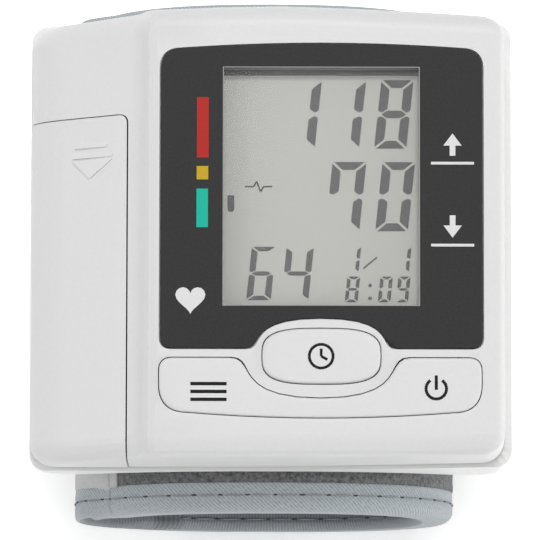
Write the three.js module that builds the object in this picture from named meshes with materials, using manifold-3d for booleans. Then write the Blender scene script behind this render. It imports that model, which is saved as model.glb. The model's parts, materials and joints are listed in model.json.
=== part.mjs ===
import * as THREE from 'three';
import { mergeVertices } from 'three/addons/utils/BufferGeometryUtils.js';
import Module from 'manifold-3d';

const wasm = await Module();
wasm.setup();

// Wrist blood pressure monitor, lying on its closed cuff with the display facing up.
// The origin is the middle of the cuff's resting flat. +X is the display's right, +Y its top.
// All sizes are in millimetres and degrees. Depths run down from the display face.

// Fits between pieces
const fitGap = 0.3;
const keyGap = 0.3;
const cellGap = 0.35;

// Case outline
const caseWidth = 72;
const caseDepth = 21;
const wall = 2;
const archTop = 1.75;
const archBottom = 0.3;
const archPower = 1.4;
const endDraft = 0.03;
const sideDraft = 0.7;
const shoulderRadius = 1.6;
const bottomEndRadius = 3.2;
const topEndRadius = 3;
const wingEndRadius = 3;
const planCornerRadius = 3.2;

// Step and sloping wing, measured from the left side of the case
const stepTopFromLeft = 19.2;
const stepFootFromLeft = 15.6;
const stepDepth = 5.3;
const stepSoftness = 2;
const wingEdgeFromLeft = 5.5;
const wingDepth = 12.6;
const leftWallDepth = 20;

// Parting line and rear housing
const partingRise = 7;
const rearFlareRight = 0.8;
const rearFlareLeft = 0.25;
const rearFlareEnds = 0.6;
const backRadius = 60;
const backArcFromSide = 9;
const rearCornerRise = 8;
const rearEndRadius = 2.4;
const caseFromCuffMiddle = 1.05;

// Window and display panel, from the top end of the case down
const windowTopMargin = 7.65;
const windowHeight = 35.3;
const windowSideMargin = 9;
const panelFromStep = 0.84;
const panelFromRight = 4.96;
const panelTopMargin = 2.55;
const panelCrown = 0.75;
const panelFoot = 6.1;
const panelTopRadius = 2.9;
const panelBottomRadius = 1.5;
const panelRecess = 1;
const panelSink = 0.08;
const notchMargin = 1.65;
const notchHalfWidth = 11.3;
const notchFootPull = 3;
const notchCrestPull = 11.4;
const lensMargin = 1.5;
const lensThickness = 0.9;

// Display glass, its holder and connector
const glassSideMargin = 2;
const glassTopMargin = 3.1;
const glassBottomMargin = 1.8;
const glassThickness = 2;
const holderRim = 1.2;
const holderLedge = 1.5;
const connectorWidth = 2;
const connectorEndMargin = 1.3;

// Keys
const keyProud = 0.35;
const keyCapDepth = 2.6;
const keyCrown = 0.35;
const setupBelowNotch = 5.76;
const setupWidth = 17;
const setupHeight = 7.8;
const setupSquareness = 3.2;
const setupTab = 1;
const setupTabWidth = 3;
const setupTabThickness = 0.8;
const rockerFromStep = 0.75;
const rockerFromRight = 5.2;
const rockerBelowPanel = 1.7;
const rockerHeight = 7.65;
const keysFromFoot = 6.1;
const rockerBow = 0.8;
const rockerBridge = 1.7;
const rockerInnerHalfWidth = 13.3;
const rockerFootPull = 3.9;
const rockerLowPull = 13.2;
const rockerTopRadius = 1.8;
const rockerBottomRadius = 4;
const rockerPressBelowTop = 3.85;
const rockerPressInset = 7.6;
const pivotRadius = 0.7;
const pivotDepth = 3.6;
const pivotLugWidth = 2;
const pivotReach = 1;
const bearingThickness = 1;
const bearingWidth = 3.4;
const keyTravel = 0.8;
const stemRadius = 1.8;
const stemDepth = 4.8;
const domeRadius = 2.6;
const domeTopRadius = 1.5;
const domeHeight = 1.8;
const domeLip = 0.45;

// Circuit board and what is mounted on it
const boardThickness = 1.6;
const boardFromRight = 5;
const boardFromTop = 4.4;
const boardFromFoot = 3;
const boardScrewRadius = 0.8;
const boardScrewHeadRadius = 1.7;
const boardScrewHead = 1.1;
const boardBossRadius = 1.6;
const boardScrewFromRight = 7.6;
const boardScrewFromWindowEnd = 4;
const boardScrewLength = 4;
const chipSize = 10;
const chipThickness = 1.2;
const chipBelowWindowMiddle = 3.95;
const sensorSize = 8;
const sensorFloor = 0.6;
const sensorFromBoardEdge = 1.25;
const sensorFromBoardTop = 11.85;
const nippleRadius = 1.5;
const nippleLength = 1;

// Air pump, valve, manifold and hoses
const pumpFromRight = 13.5;
const underBoardGap = 1.45;
const aboveBackGap = 0.5;
const motorFromFoot = 8.75;
const motorLength = 20;
const pumpHeadLength = 10;
const pumpHeadWall = 1.2;
const crankShaftRadius = 0.8;
const crankRadius = 2.4;
const crankThickness = 1.6;
const crankPinRadius = 0.7;
const crankThrow = 1.3;
const crankPinLength = 3;
const valveFromFoot = 16.25;
const valveLength = 13;
const plungerRadius = 1.2;
const plungerReach = 2.4;
const plungerBore = 6;
const valveTravel = 1;
const manifoldSize = 6;
const hoseRadius = 1.6;
const nozzleRadius = 2.2;
const nozzleBore = 1.1;

// Battery compartment
const cellRadius = 5.2;
const cellLength = 44.5;
const cellNubRadius = 1.9;
const cellNubLength = 1;
const cellPitch = 10.9;
const cellFromWing = 7.6;
const outerCellAlongWing = 13.8;
const doorEdgeFromLeft = 14.7;
const compartmentFromFoot = 2.9;
const doorCornerRadius = 1.2;
const doorWall = 1.6;
const doorTongueWidth = 3;
const doorTongueReach = 1.7;
const doorTongueThickness = 1;
const compartmentWall = 1.2;
const cradleThickness = 1.4;
const cradleCount = 2;
const contactRadius = 4.2;
const contactThickness = 0.4;
const springLength = 3.4;
const springWire = 0.55;
const springWideRadius = 3.4;
const springNarrowRadius = 2.2;
const springCurls = 3;
const springStepsPerCurl = 8;
const springSides = 5;
const springProbesPerCurl = 32;

// Case screws
const screwRadius = 1.1;
const screwHeadRadius = 2.3;
const screwHead = 1.6;
const screwLength = 9;
const screwBossRadius = 3.2;
const screwSeat = 3;
const screwFromRight = 6.5;
const screwFromLeft = 9;
const screwFromEnd = 4.9;
const screwFromFoot = 3.75;
const screwMargin = 1.5;

// Cuff
const cuffWidth = 56.6;
const cuffHeight = 55;
const cuffLength = 77;
const cuffSquareness = 2.4;
const restFlat = 0.5;
const fleeceThickness = 1.6;
const stiffenerThickness = 0.8;
const bladderThickness = 1.6;
const liningThickness = 1;
const stiffenerLength = 66;
const bladderLength = 60;
const cuffStartAngle = -137.5;
const cuffEndAngle = 172;
const stiffenerStartAngle = -122;
const stiffenerEndAngle = 150;
const bladderStartAngle = -115;
const bladderEndAngle = 105;
const taperStartAngle = -134;
const taperEndAngle = 166;
const taperMarginAngle = 2;
const fullTurnAngle = 360;
const bindingWidth = 4.2;
const bindingThickness = 0.5;
const bindingSink = 0.1;
const bindingOverrun = 1;
const bandSteps = 40;

// Closing strap
const strapThickness = 2;
const strapHingeAngle = 222;
const strapEndAngle = 146;
const strapRampStartAngle = 216;
const strapRampEndAngle = 178;
const hookThickness = 0.5;
const hookStartAngle = 148;
const hookEndAngle = 169;
const hookLength = 60;
const strapSteps = 24;

// Roundness of curved faces
const curveSteps = 5;
const faceSteps = 5;
const filletSteps = 5;
const roundSegments = 18;
const smallSegments = 10;
const crownSteps = 2;
const hoseSteps = 10;
const hoseSides = 8;
const weldDistance = 0.0001;

// Levels worked out from the sizes above
const faceLevel = cuffHeight + fitGap + caseDepth;
const halfWidth = caseWidth / 2;
const stepTop = halfWidth - stepTopFromLeft;
const stepFoot = halfWidth - stepFootFromLeft;
const wingEdge = halfWidth - wingEdgeFromLeft;
const doorEdge = halfWidth - doorEdgeFromLeft;
const backArcHalfWidth = halfWidth - backArcFromSide;
const keysLength = rockerBelowPanel + rockerHeight + keysFromFoot;
const caseLength = windowTopMargin + windowHeight + panelFoot + keysLength;
const halfLength = caseLength / 2;
const windowTop = halfLength - windowTopMargin;
const windowBottom = windowTop - windowHeight;
const windowY = (windowTop + windowBottom) / 2;
const panelLeft = panelFromStep - stepTop;
const panelRight = halfWidth - panelFromRight;
const panelMiddle = (panelLeft + panelRight) / 2;
const panelTop = windowTop + panelTopMargin;
const panelBottom = windowBottom - panelFoot;
const notchCrest = windowBottom - notchMargin;
const windowX = panelMiddle;
const windowWidth = panelRight - panelLeft - 2 * windowSideMargin;
const setupX = panelMiddle;
const setupY = notchCrest - setupBelowNotch;
const rockerLeft = rockerFromStep - stepTop;
const rockerRight = halfWidth - rockerFromRight;
const rockerX = (rockerLeft + rockerRight) / 2;
const rockerTop = panelBottom - rockerBelowPanel;
const rockerBottom = rockerTop - rockerHeight;
const rockerInnerLow = rockerBottom + rockerBridge;
const rockerPressY = rockerTop - rockerPressBelowTop;
const partingDepth = caseDepth - partingRise / 2;
const partingSlope = partingRise / caseWidth;
const wingSlope = Math.atan2(wingDepth - stepDepth, wingEdge - stepFoot);
const skirtDepth = caseDepth + 4 * wall;
const panelDepth = panelRecess + fitGap;
const lensDepth = panelDepth + lensThickness;
const glassTopDepth = lensDepth + fitGap;
const glassDepth = glassTopDepth + glassThickness;
const domeTopDepth = stemDepth + fitGap;
const boardDepth = domeTopDepth + domeHeight + fitGap;
const boardBackDepth = boardDepth + boardThickness;
const keyRoomDepth = keyCapDepth + keyTravel + fitGap;
const boardRight = halfWidth - boardFromRight;
const boardTop = halfLength - boardFromTop;
const boardBottom = boardFromFoot - halfLength;
const chipY = windowY - chipBelowWindowMiddle;
const sensorY = boardTop - sensorFromBoardTop;
const manifoldY = sensorY;
const pumpX = halfWidth - pumpFromRight;
const motorStart = motorFromFoot - halfLength;
const valveStart = valveFromFoot - halfLength;
const reach = 3 * caseWidth;

// Solids and meshes

function solidOf(geometry) {
  const plain = geometry.clone();
  plain.deleteAttribute('normal');
  plain.deleteAttribute('uv');
  const merged = mergeVertices(plain, weldDistance);
  const corners = merged.index.array;
  const triangles = [];
  for (let i = 0; i < corners.length; i += 3) {
    const [a, b, c] = [corners[i], corners[i + 1], corners[i + 2]];
    if (a !== b && b !== c && c !== a) {
      triangles.push(a, b, c);
    }
  }
  const mesh = new wasm.Mesh({
    numProp: 3,
    vertProperties: new Float32Array(merged.attributes.position.array),
    triVerts: new Uint32Array(triangles),
  });
  mesh.merge();
  return new wasm.Manifold(mesh);
}

function geometryOf(solid) {
  const mesh = solid.getMesh();
  const geometry = new THREE.BufferGeometry();
  geometry.setAttribute('position', new THREE.BufferAttribute(new Float32Array(mesh.vertProperties), 3));
  geometry.setIndex(new THREE.BufferAttribute(new Uint32Array(mesh.triVerts), 1));
  geometry.computeVertexNormals();
  return geometry;
}

function plastic(color) {
  return new THREE.MeshStandardMaterial({ color, roughness: 0.5, metalness: 0 });
}

function clear(color) {
  return new THREE.MeshStandardMaterial({ color, roughness: 0.15, metalness: 0 });
}

function rubber(color) {
  return new THREE.MeshStandardMaterial({ color, roughness: 0.8, metalness: 0 });
}

function metal(color) {
  return new THREE.MeshStandardMaterial({ color, roughness: 0.35, metalness: 1 });
}

function fabric(color) {
  return new THREE.MeshStandardMaterial({ color, roughness: 0.95, metalness: 0 });
}

function addPart(group, name, solid, material) {
  const mesh = new THREE.Mesh(geometryOf(solid), material);
  mesh.name = name;
  group.add(mesh);
}

// Basic forms

function box(x0, x1, y0, y1, z0, z1) {
  const geometry = new THREE.BoxGeometry(x1 - x0, y1 - y0, z1 - z0);
  geometry.translate((x0 + x1) / 2, (y0 + y1) / 2, (z0 + z1) / 2);
  return solidOf(geometry);
}

function uprightCylinder(x, y, radius, z0, z1, segments = roundSegments) {
  const geometry = new THREE.CylinderGeometry(radius, radius, z1 - z0, segments);
  geometry.rotateX(Math.PI / 2);
  geometry.translate(x, y, (z0 + z1) / 2);
  return solidOf(geometry);
}

function lyingCylinder(x, z, radius, y0, y1, segments = roundSegments) {
  const geometry = new THREE.CylinderGeometry(radius, radius, y1 - y0, segments);
  geometry.translate(x, (y0 + y1) / 2, z);
  return solidOf(geometry);
}

function prism(shape, z0, z1) {
  const geometry = new THREE.ExtrudeGeometry(shape, {
    depth: z1 - z0,
    bevelEnabled: false,
    curveSegments: curveSteps * 2,
  });
  geometry.translate(0, 0, z0);
  return solidOf(geometry);
}

function crownedPrism(shape, z0, z1, crown) {
  const geometry = new THREE.ExtrudeGeometry(shape, {
    depth: z1 - z0 - crown,
    bevelEnabled: true,
    bevelThickness: crown,
    bevelSize: crown,
    bevelOffset: -crown,
    bevelSegments: crownSteps,
    curveSegments: curveSteps * 2,
  });
  geometry.translate(0, 0, z0);
  return solidOf(geometry).intersect(box(-reach, reach, -reach, reach, z0, z1));
}

function prismAlongY(shape, y0, y1) {
  const geometry = new THREE.ExtrudeGeometry(shape, {
    depth: y1 - y0,
    bevelEnabled: false,
    curveSegments: curveSteps,
  });
  geometry.rotateX(Math.PI / 2);
  geometry.translate(0, y1, 0);
  return solidOf(geometry);
}

function hoseAlong(points) {
  const section = new THREE.Shape();
  section.absarc(0, 0, hoseRadius, 0, 2 * Math.PI);
  const ring = new THREE.Shape(section.getSpacedPoints(hoseSides).slice(0, hoseSides));
  const geometry = new THREE.ExtrudeGeometry(ring, {
    steps: hoseSteps,
    bevelEnabled: false,
    extrudePath: new THREE.CatmullRomCurve3(points),
  });
  return solidOf(geometry);
}

// Closes an outline that runs from side to side with a straight base, one base point below each point
function closedSection(outline, baseLevel) {
  const base = outline.slice(1, -1).map((point) => new THREE.Vector2(point.x, baseLevel));
  return [...outline, ...base.reverse()];
}

// A body through closed sections that stand across Y, with its ends in upright strips
function loft(rings) {
  const ringSize = rings[0].length;
  const outlineEnd = ringSize / 2;
  const positions = [];
  const triangles = [];
  for (const ring of rings) {
    for (const point of ring) {
      positions.push(point.x, point.y, point.z);
    }
  }
  for (let i = 0; i + 1 < rings.length; i++) {
    for (let j = 0; j < ringSize; j++) {
      const a = i * ringSize + j;
      const b = i * ringSize + ((j + 1) % ringSize);
      triangles.push(a, a + ringSize, b, b, a + ringSize, b + ringSize);
    }
  }
  const last = (rings.length - 1) * ringSize;
  for (let a = 0; a < outlineEnd; a++) {
    const b = a + 1;
    const c = ringSize - b;
    const d = (ringSize - a) % ringSize;
    triangles.push(a, b, c, a, c, d);
    triangles.push(last + a, last + c, last + b, last + a, last + d, last + c);
  }
  const geometry = new THREE.BufferGeometry();
  geometry.setAttribute('position', new THREE.Float32BufferAttribute(positions, 3));
  geometry.setIndex(triangles);
  return solidOf(geometry);
}

// Case shells

function filletDrop(distance, half, radius) {
  const along = distance - (half - radius);
  if (along <= 0) {
    return 0;
  }
  return radius - Math.sqrt(Math.max(radius * radius - along * along, 0));
}

function endPlaces(half, lowRadius, highRadius) {
  const places = [];
  for (let i = filletSteps; i >= 0; i--) {
    places.push(-half + lowRadius - lowRadius * Math.sin((Math.PI / 2) * (i / filletSteps)));
  }
  for (let i = 0; i <= filletSteps; i++) {
    places.push(half - highRadius + highRadius * Math.sin((Math.PI / 2) * (i / filletSteps)));
  }
  return places;
}

// The ends bow outwards a little and lean out with depth
function placeOnCase(section, y, half) {
  const share = y / half;
  const bow = y > 0 ? archTop : archBottom;
  return section.map((point) => {
    const across = Math.abs(point.x / halfWidth) ** archPower;
    const shift = bow * (1 - across) - endDraft * point.y;
    return new THREE.Vector3(point.x, y + share * shift, point.y);
  });
}

function frontSection(offset, drop, wingDrop, inset, floorDepth) {
  const right = halfWidth - rearFlareRight - offset - inset;
  const shoulder = right - sideDraft;
  const left = -(halfWidth - rearFlareLeft) + offset + inset;
  const top = -offset - drop;
  const wingTop = -offset / Math.cos(wingSlope) - wingDrop;
  const wingLift = Math.tan(wingSlope) * stepSoftness;
  const faceRight = shoulder - shoulderRadius;
  const faceLeft = -stepTop + offset;
  const path = new THREE.Path();
  path.moveTo(right, -floorDepth);
  path.lineTo(shoulder, top - shoulderRadius);
  path.quadraticCurveTo(shoulder, top, faceRight, top);
  for (let i = 1; i <= faceSteps; i++) {
    path.lineTo(faceRight + ((faceLeft - faceRight) * i) / faceSteps, top);
  }
  path.bezierCurveTo(
    faceLeft - stepSoftness,
    top,
    -stepFoot + offset + stepSoftness,
    wingTop - stepDepth + wingLift,
    -stepFoot + offset / 2,
    wingTop - stepDepth,
  );
  path.lineTo(-wingEdge + offset / 2, wingTop - wingDepth);
  path.quadraticCurveTo(
    left,
    wingTop - wingDepth - Math.tan(wingSlope) * (halfWidth - wingEdge),
    left,
    wingTop - leftWallDepth,
  );
  path.lineTo(left, -floorDepth);
  return path.getPoints(curveSteps);
}

function frontBody(offset, floorDepth) {
  const half = halfLength - offset;
  const lowRadius = bottomEndRadius - offset;
  const highRadius = topEndRadius - offset / 2;
  const corner = planCornerRadius - offset / 2;
  const wingRadius = wingEndRadius - offset / 2;
  const rings = endPlaces(half, lowRadius, highRadius).map((y) => {
    const distance = Math.abs(y);
    const drop = filletDrop(distance, half, y < 0 ? lowRadius : highRadius);
    const wingDrop = filletDrop(distance, half, wingRadius);
    const inset = filletDrop(distance, half, corner);
    const outline = frontSection(offset, drop, wingDrop, inset, floorDepth);
    return placeOnCase(closedSection(outline, -floorDepth), y, half);
  });
  return loft(rings);
}

function rearSection(offset, lift, inset) {
  const side = halfWidth - offset - inset;
  const radius = backRadius + offset;
  const centre = -caseDepth - backRadius + lift;
  const spread = Math.asin(backArcHalfWidth / backRadius);
  const edgeX = radius * Math.sin(spread);
  const edgeZ = centre + radius * Math.cos(spread);
  const corner = edgeZ - (side - edgeX) * Math.tan(spread);
  const path = new THREE.Path();
  path.moveTo(-side, wall);
  path.lineTo(-side, corner + rearCornerRise);
  path.quadraticCurveTo(-side, corner, -edgeX, edgeZ);
  path.absarc(0, centre, radius, Math.PI / 2 + spread, Math.PI / 2 - spread, true);
  path.quadraticCurveTo(side, corner, side, corner + rearCornerRise);
  path.lineTo(side, wall);
  return path.getPoints(curveSteps);
}

function rearBody(offset) {
  const half = halfLength + rearFlareEnds - offset;
  const radius = rearEndRadius - offset / 2;
  const rings = endPlaces(half, radius, radius).map((y) => {
    const drop = filletDrop(Math.abs(y), half, radius);
    return placeOnCase(closedSection(rearSection(offset, drop, drop), wall), y, half);
  });
  return loft(rings);
}

function partingLevel(x) {
  return -partingDepth + partingSlope * x;
}

function backLevel(x) {
  return -caseDepth - backRadius + Math.sqrt(backRadius * backRadius - x * x);
}

// A screw's head is sunk in the back, no further below the parting than its boss needs
function screwSeatLevel(x) {
  return Math.max(partingLevel(x) - screwSeat, backLevel(x) + screwHead + 2 * fitGap);
}

// Everything on one side of the slanting parting plane, side 1 above it and -1 below it
function besideParting(side, gap) {
  const geometry = new THREE.BoxGeometry(reach, reach, reach);
  geometry.translate(0, 0, side * (reach / 2 + gap));
  geometry.rotateY(-Math.atan(partingSlope));
  geometry.translate(0, 0, -partingDepth);
  return solidOf(geometry);
}

// Outlines on the display face

function panelShape(grow) {
  const left = panelLeft - grow;
  const right = panelRight + grow;
  const top = panelTop + grow;
  const bottom = panelBottom - grow;
  const crest = notchCrest - grow;
  const foot = notchHalfWidth - grow;
  const topRadius = panelTopRadius + grow;
  const bottomRadius = panelBottomRadius + grow;
  const shape = new THREE.Shape();
  shape.moveTo(left + bottomRadius, bottom);
  shape.lineTo(panelMiddle - foot, bottom);
  shape.bezierCurveTo(
    panelMiddle - foot + notchFootPull, bottom,
    panelMiddle - notchCrestPull, crest,
    panelMiddle, crest,
  );
  shape.bezierCurveTo(
    panelMiddle + notchCrestPull, crest,
    panelMiddle + foot - notchFootPull, bottom,
    panelMiddle + foot, bottom,
  );
  shape.lineTo(right - bottomRadius, bottom);
  shape.quadraticCurveTo(right, bottom, right, bottom + bottomRadius);
  shape.lineTo(right, top - topRadius);
  shape.quadraticCurveTo(right, top, right - topRadius, top);
  shape.quadraticCurveTo(panelMiddle, top + 2 * panelCrown, left + topRadius, top);
  shape.quadraticCurveTo(left, top, left, top - topRadius);
  shape.lineTo(left, bottom + bottomRadius);
  shape.quadraticCurveTo(left, bottom, left + bottomRadius, bottom);
  return shape;
}

function rectangle(x, y, width, height) {
  const shape = new THREE.Shape();
  shape.moveTo(x - width / 2, y - height / 2);
  shape.lineTo(x + width / 2, y - height / 2);
  shape.lineTo(x + width / 2, y + height / 2);
  shape.lineTo(x - width / 2, y + height / 2);
  return shape;
}

function setupShape(grow) {
  const points = [];
  const count = 4 * curveSteps * 2;
  for (let i = 0; i < count; i++) {
    const angle = (2 * Math.PI * i) / count;
    const c = Math.cos(angle);
    const s = Math.sin(angle);
    const power = 2 / setupSquareness;
    points.push(new THREE.Vector2(
      setupX + (setupWidth / 2 + grow) * Math.sign(c) * Math.abs(c) ** power,
      setupY + (setupHeight / 2 + grow) * Math.sign(s) * Math.abs(s) ** power,
    ));
  }
  return new THREE.Shape(points);
}

function rockerShape(grow) {
  const left = rockerLeft - grow;
  const right = rockerRight + grow;
  const top = rockerTop + grow;
  const bottom = rockerBottom - grow;
  const low = rockerInnerLow + grow;
  const inner = rockerInnerHalfWidth - grow;
  const topRadius = rockerTopRadius + grow;
  const bottomRadius = rockerBottomRadius + grow;
  const shape = new THREE.Shape();
  shape.moveTo(left + topRadius, top);
  shape.quadraticCurveTo(left, top, left, top - topRadius);
  shape.lineTo(left, bottom + bottomRadius);
  shape.quadraticCurveTo(left, bottom, left + bottomRadius, bottom);
  shape.quadraticCurveTo(rockerX, bottom - 2 * rockerBow, right - bottomRadius, bottom);
  shape.quadraticCurveTo(right, bottom, right, bottom + bottomRadius);
  shape.lineTo(right, top - topRadius);
  shape.quadraticCurveTo(right, top, right - topRadius, top);
  shape.lineTo(rockerX + inner, top);
  shape.bezierCurveTo(
    rockerX + inner - rockerFootPull, top,
    rockerX + rockerLowPull, low,
    rockerX, low,
  );
  shape.bezierCurveTo(
    rockerX - rockerLowPull, low,
    rockerX - inner + rockerFootPull, top,
    rockerX - inner, top,
  );
  return shape;
}

const pressPlaces = {
  setup: [setupX, setupY],
  memory: [rockerLeft + rockerPressInset, rockerPressY],
  power: [rockerRight - rockerPressInset, rockerPressY],
};

const bearingOuterY = rockerBottom - rockerBow - fitGap - keyGap;
const bearingInnerY = rockerInnerLow + fitGap + keyGap;

const glass = {
  left: windowX - windowWidth / 2 - glassSideMargin,
  right: windowX + windowWidth / 2 + glassSideMargin,
  bottom: windowY - windowHeight / 2 - glassBottomMargin,
  top: windowY + windowHeight / 2 + glassTopMargin,
};

const holderBottom = glass.bottom - fitGap - holderRim;

// One screw between the display and the keys, two beside the display
const boardScrewPlaces = [
  [glass.left - fitGap, (holderBottom + rockerTop + keyGap) / 2],
  [halfWidth - boardScrewFromRight, windowTop - boardScrewFromWindowEnd],
  [halfWidth - boardScrewFromRight, windowBottom + boardScrewFromWindowEnd],
];

// Battery compartment places

const wingAlong = new THREE.Vector2(-Math.cos(wingSlope), -Math.sin(wingSlope));
const wingInward = new THREE.Vector2(Math.sin(wingSlope), -Math.cos(wingSlope));

function underWing(along, inward) {
  const point = new THREE.Vector2(-stepFoot, -stepDepth);
  point.addScaledVector(wingAlong, along);
  point.addScaledVector(wingInward, inward);
  return point;
}

const outerCell = underWing(outerCellAlongWing, cellFromWing);
const innerCell = underWing(outerCellAlongWing - cellPitch, cellFromWing);
const partitionX = innerCell.x + cellRadius + cellGap;
const boardLeft = partitionX + compartmentWall + fitGap;
const compartmentLength = cellLength + springLength + 2 * contactThickness + 5 * fitGap;
const compartmentBottom = compartmentFromFoot - halfLength;
const compartmentTop = compartmentBottom + compartmentLength;
const doorTop = compartmentTop - contactThickness - 2 * fitGap - doorTongueReach;
const outerCellStart = compartmentTop - contactThickness - 2 * fitGap - cellLength;
const innerCellStart = compartmentBottom + contactThickness + 2 * fitGap;

const tongueTop = wall + fitGap;
const leftScrewY = compartmentTop + compartmentWall + screwBossRadius + screwMargin;

// Two screws on the right, one above the battery compartment, one beside its foot
const screwPlaces = [
  [halfWidth - screwFromRight, halfLength - screwFromEnd],
  [halfWidth - screwFromRight, screwFromEnd - halfLength],
  [screwFromLeft - halfWidth, leftScrewY],
  [boardLeft + screwBossRadius + 2 * fitGap, screwFromFoot - halfLength],
];

function doorShape(grow) {
  const right = -doorEdge + grow;
  const top = doorTop + grow;
  const radius = doorCornerRadius + grow;
  const shape = new THREE.Shape();
  shape.moveTo(-reach, -reach);
  shape.lineTo(right, -reach);
  shape.lineTo(right, top - radius);
  shape.quadraticCurveTo(right, top, right - radius, top);
  shape.lineTo(-reach, top);
  return shape;
}

// The section of the cover's tongue, across the slide
function tongueShape(grow) {
  const middle = outerCellAlongWing - cellPitch / 2;
  const half = doorTongueWidth / 2 + grow;
  const low = tongueTop + doorTongueThickness + grow;
  return new THREE.Shape([
    underWing(middle - half, doorWall / 2),
    underWing(middle + half, doorWall / 2),
    underWing(middle + half, low),
    underWing(middle - half, low),
  ]);
}

function cellRoom(cell) {
  return lyingCylinder(cell.x, cell.y, cellRadius + cellGap, compartmentBottom, compartmentTop);
}

function bossAt([x, y], radius, z0, z1) {
  return uprightCylinder(x, y, radius, z0, z1, smallSegments);
}

function makeFrontHousing() {
  let shell = frontBody(0, skirtDepth).subtract(frontBody(wall, skirtDepth + wall));
  const room = frontBody(wall / 2, skirtDepth);
  for (const place of screwPlaces) {
    const boreEnd = screwSeatLevel(place[0]) + screwLength + fitGap;
    shell = shell.add(bossAt(place, screwBossRadius, -skirtDepth, 0).intersect(room));
    shell = shell.subtract(bossAt(place, screwRadius + fitGap, -skirtDepth, boreEnd));
  }
  for (const place of boardScrewPlaces) {
    shell = shell.add(bossAt(place, boardBossRadius, -boardDepth + fitGap, -wall / 2));
    shell = shell.subtract(bossAt(place, boardScrewRadius + fitGap, -boardDepth, -wall - fitGap));
  }
  const bearingBottom = -pivotDepth - pivotRadius - 2 * fitGap;
  const bearing = box(
    rockerX - bearingWidth / 2,
    rockerX + bearingWidth / 2,
    bearingOuterY - bearingThickness,
    bearingOuterY,
    bearingBottom,
    -wall / 2,
  ).add(box(
    rockerX - bearingWidth / 2,
    rockerX + bearingWidth / 2,
    bearingInnerY,
    bearingInnerY + bearingThickness,
    bearingBottom,
    -wall / 2,
  ));
  const pivotBore = lyingCylinder(
    rockerX,
    -pivotDepth,
    pivotRadius + fitGap,
    bearingOuterY - 2 * bearingThickness,
    bearingInnerY + 2 * bearingThickness,
    smallSegments,
  );
  const lensPocket = rectangle(
    windowX,
    windowY,
    windowWidth + 2 * lensMargin + 2 * fitGap,
    windowHeight + 2 * lensMargin + 2 * fitGap,
  );
  return shell
    .add(bearing.subtract(pivotBore))
    .intersect(besideParting(1, fitGap / 2))
    .subtract(prism(doorShape(fitGap), -reach, reach))
    .subtract(prism(panelShape(fitGap), -panelRecess, wall))
    .subtract(prism(lensPocket, -2 * wall, wall))
    .subtract(prism(setupShape(keyGap), -2 * wall, wall))
    .subtract(prism(rockerShape(keyGap), -keyRoomDepth, wall))
    .subtract(cellRoom(outerCell))
    .subtract(cellRoom(innerCell));
}

function makeCompartment() {
  const left = -halfWidth;
  const right = partitionX + compartmentWall;
  const low = -reach / 2;
  const high = -keyRoomDepth;
  const bottomEnd = compartmentBottom - compartmentWall;
  const topEnd = compartmentTop + compartmentWall;
  let frame = box(partitionX, right, bottomEnd, topEnd, low, high)
    .add(box(left, right, compartmentTop, topEnd, low, high))
    .add(box(left, right, bottomEnd, compartmentBottom, low, high));
  const cradle = new THREE.Shape();
  cradle.moveTo(left, low);
  cradle.lineTo(right, low);
  cradle.lineTo(right, innerCell.y);
  cradle.lineTo(innerCell.x, innerCell.y);
  cradle.lineTo(outerCell.x, outerCell.y);
  cradle.lineTo(left, outerCell.y);
  for (let i = 1; i <= cradleCount; i++) {
    const y = compartmentBottom + (compartmentLength * i) / (cradleCount + 1);
    frame = frame.add(prismAlongY(cradle, y - cradleThickness / 2, y + cradleThickness / 2));
  }
  return frame;
}

function makeRearHousing() {
  let shell = rearBody(0).subtract(rearBody(wall));
  const compartment = makeCompartment()
    .intersect(frontBody(wall + fitGap, reach))
    .intersect(rearBody(wall / 2))
    .subtract(prismAlongY(tongueShape(fitGap), -reach, doorTop));
  shell = shell.intersect(besideParting(-1, fitGap / 2));
  const inside = rearBody(wall / 2);
  for (const place of screwPlaces) {
    const boss = bossAt(place, screwBossRadius, -reach, 0);
    shell = shell.add(boss.intersect(inside).intersect(besideParting(-1, fitGap / 2)));
  }
  shell = shell.add(compartment);
  for (const place of screwPlaces) {
    const seat = screwSeatLevel(place[0]);
    shell = shell.subtract(bossAt(place, screwRadius + fitGap, -reach, 0));
    shell = shell.subtract(bossAt(place, screwHeadRadius + fitGap, -reach, seat));
  }
  const nozzleHole = uprightCylinder(manifoldX, manifoldY, nozzleRadius + fitGap, -reach, -caseDepth / 2);
  return shell
    .subtract(nozzleHole)
    .subtract(cellRoom(outerCell))
    .subtract(cellRoom(innerCell));
}

function makeBatteryCover() {
  const skin = frontBody(0, skirtDepth).subtract(frontBody(doorWall, skirtDepth + wall));
  const tongue = prismAlongY(tongueShape(0), doorTop - 2 * doorTongueReach, doorTop + doorTongueReach);
  const underShell = prism(doorShape(0), -reach, reach).add(frontBody(tongueTop, skirtDepth));
  return skin
    .intersect(prism(doorShape(0), -reach, reach))
    .add(tongue.intersect(underShell))
    .intersect(besideParting(1, fitGap));
}

function makeDisplayPanel() {
  const shape = panelShape(0);
  const sheet = prism(shape, -panelRecess + fitGap / 2, -panelSink);
  const opening = rectangle(windowX, windowY, windowWidth, windowHeight);
  return sheet.subtract(prism(opening, -reach, reach));
}

function makeWindowLens() {
  const outline = rectangle(windowX, windowY, windowWidth + 2 * lensMargin, windowHeight + 2 * lensMargin);
  return prism(outline, -lensDepth, -panelDepth);
}

function makeDisplayGlass() {
  return box(glass.left, glass.right, glass.bottom, glass.top, -glassDepth, -glassTopDepth);
}

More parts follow.
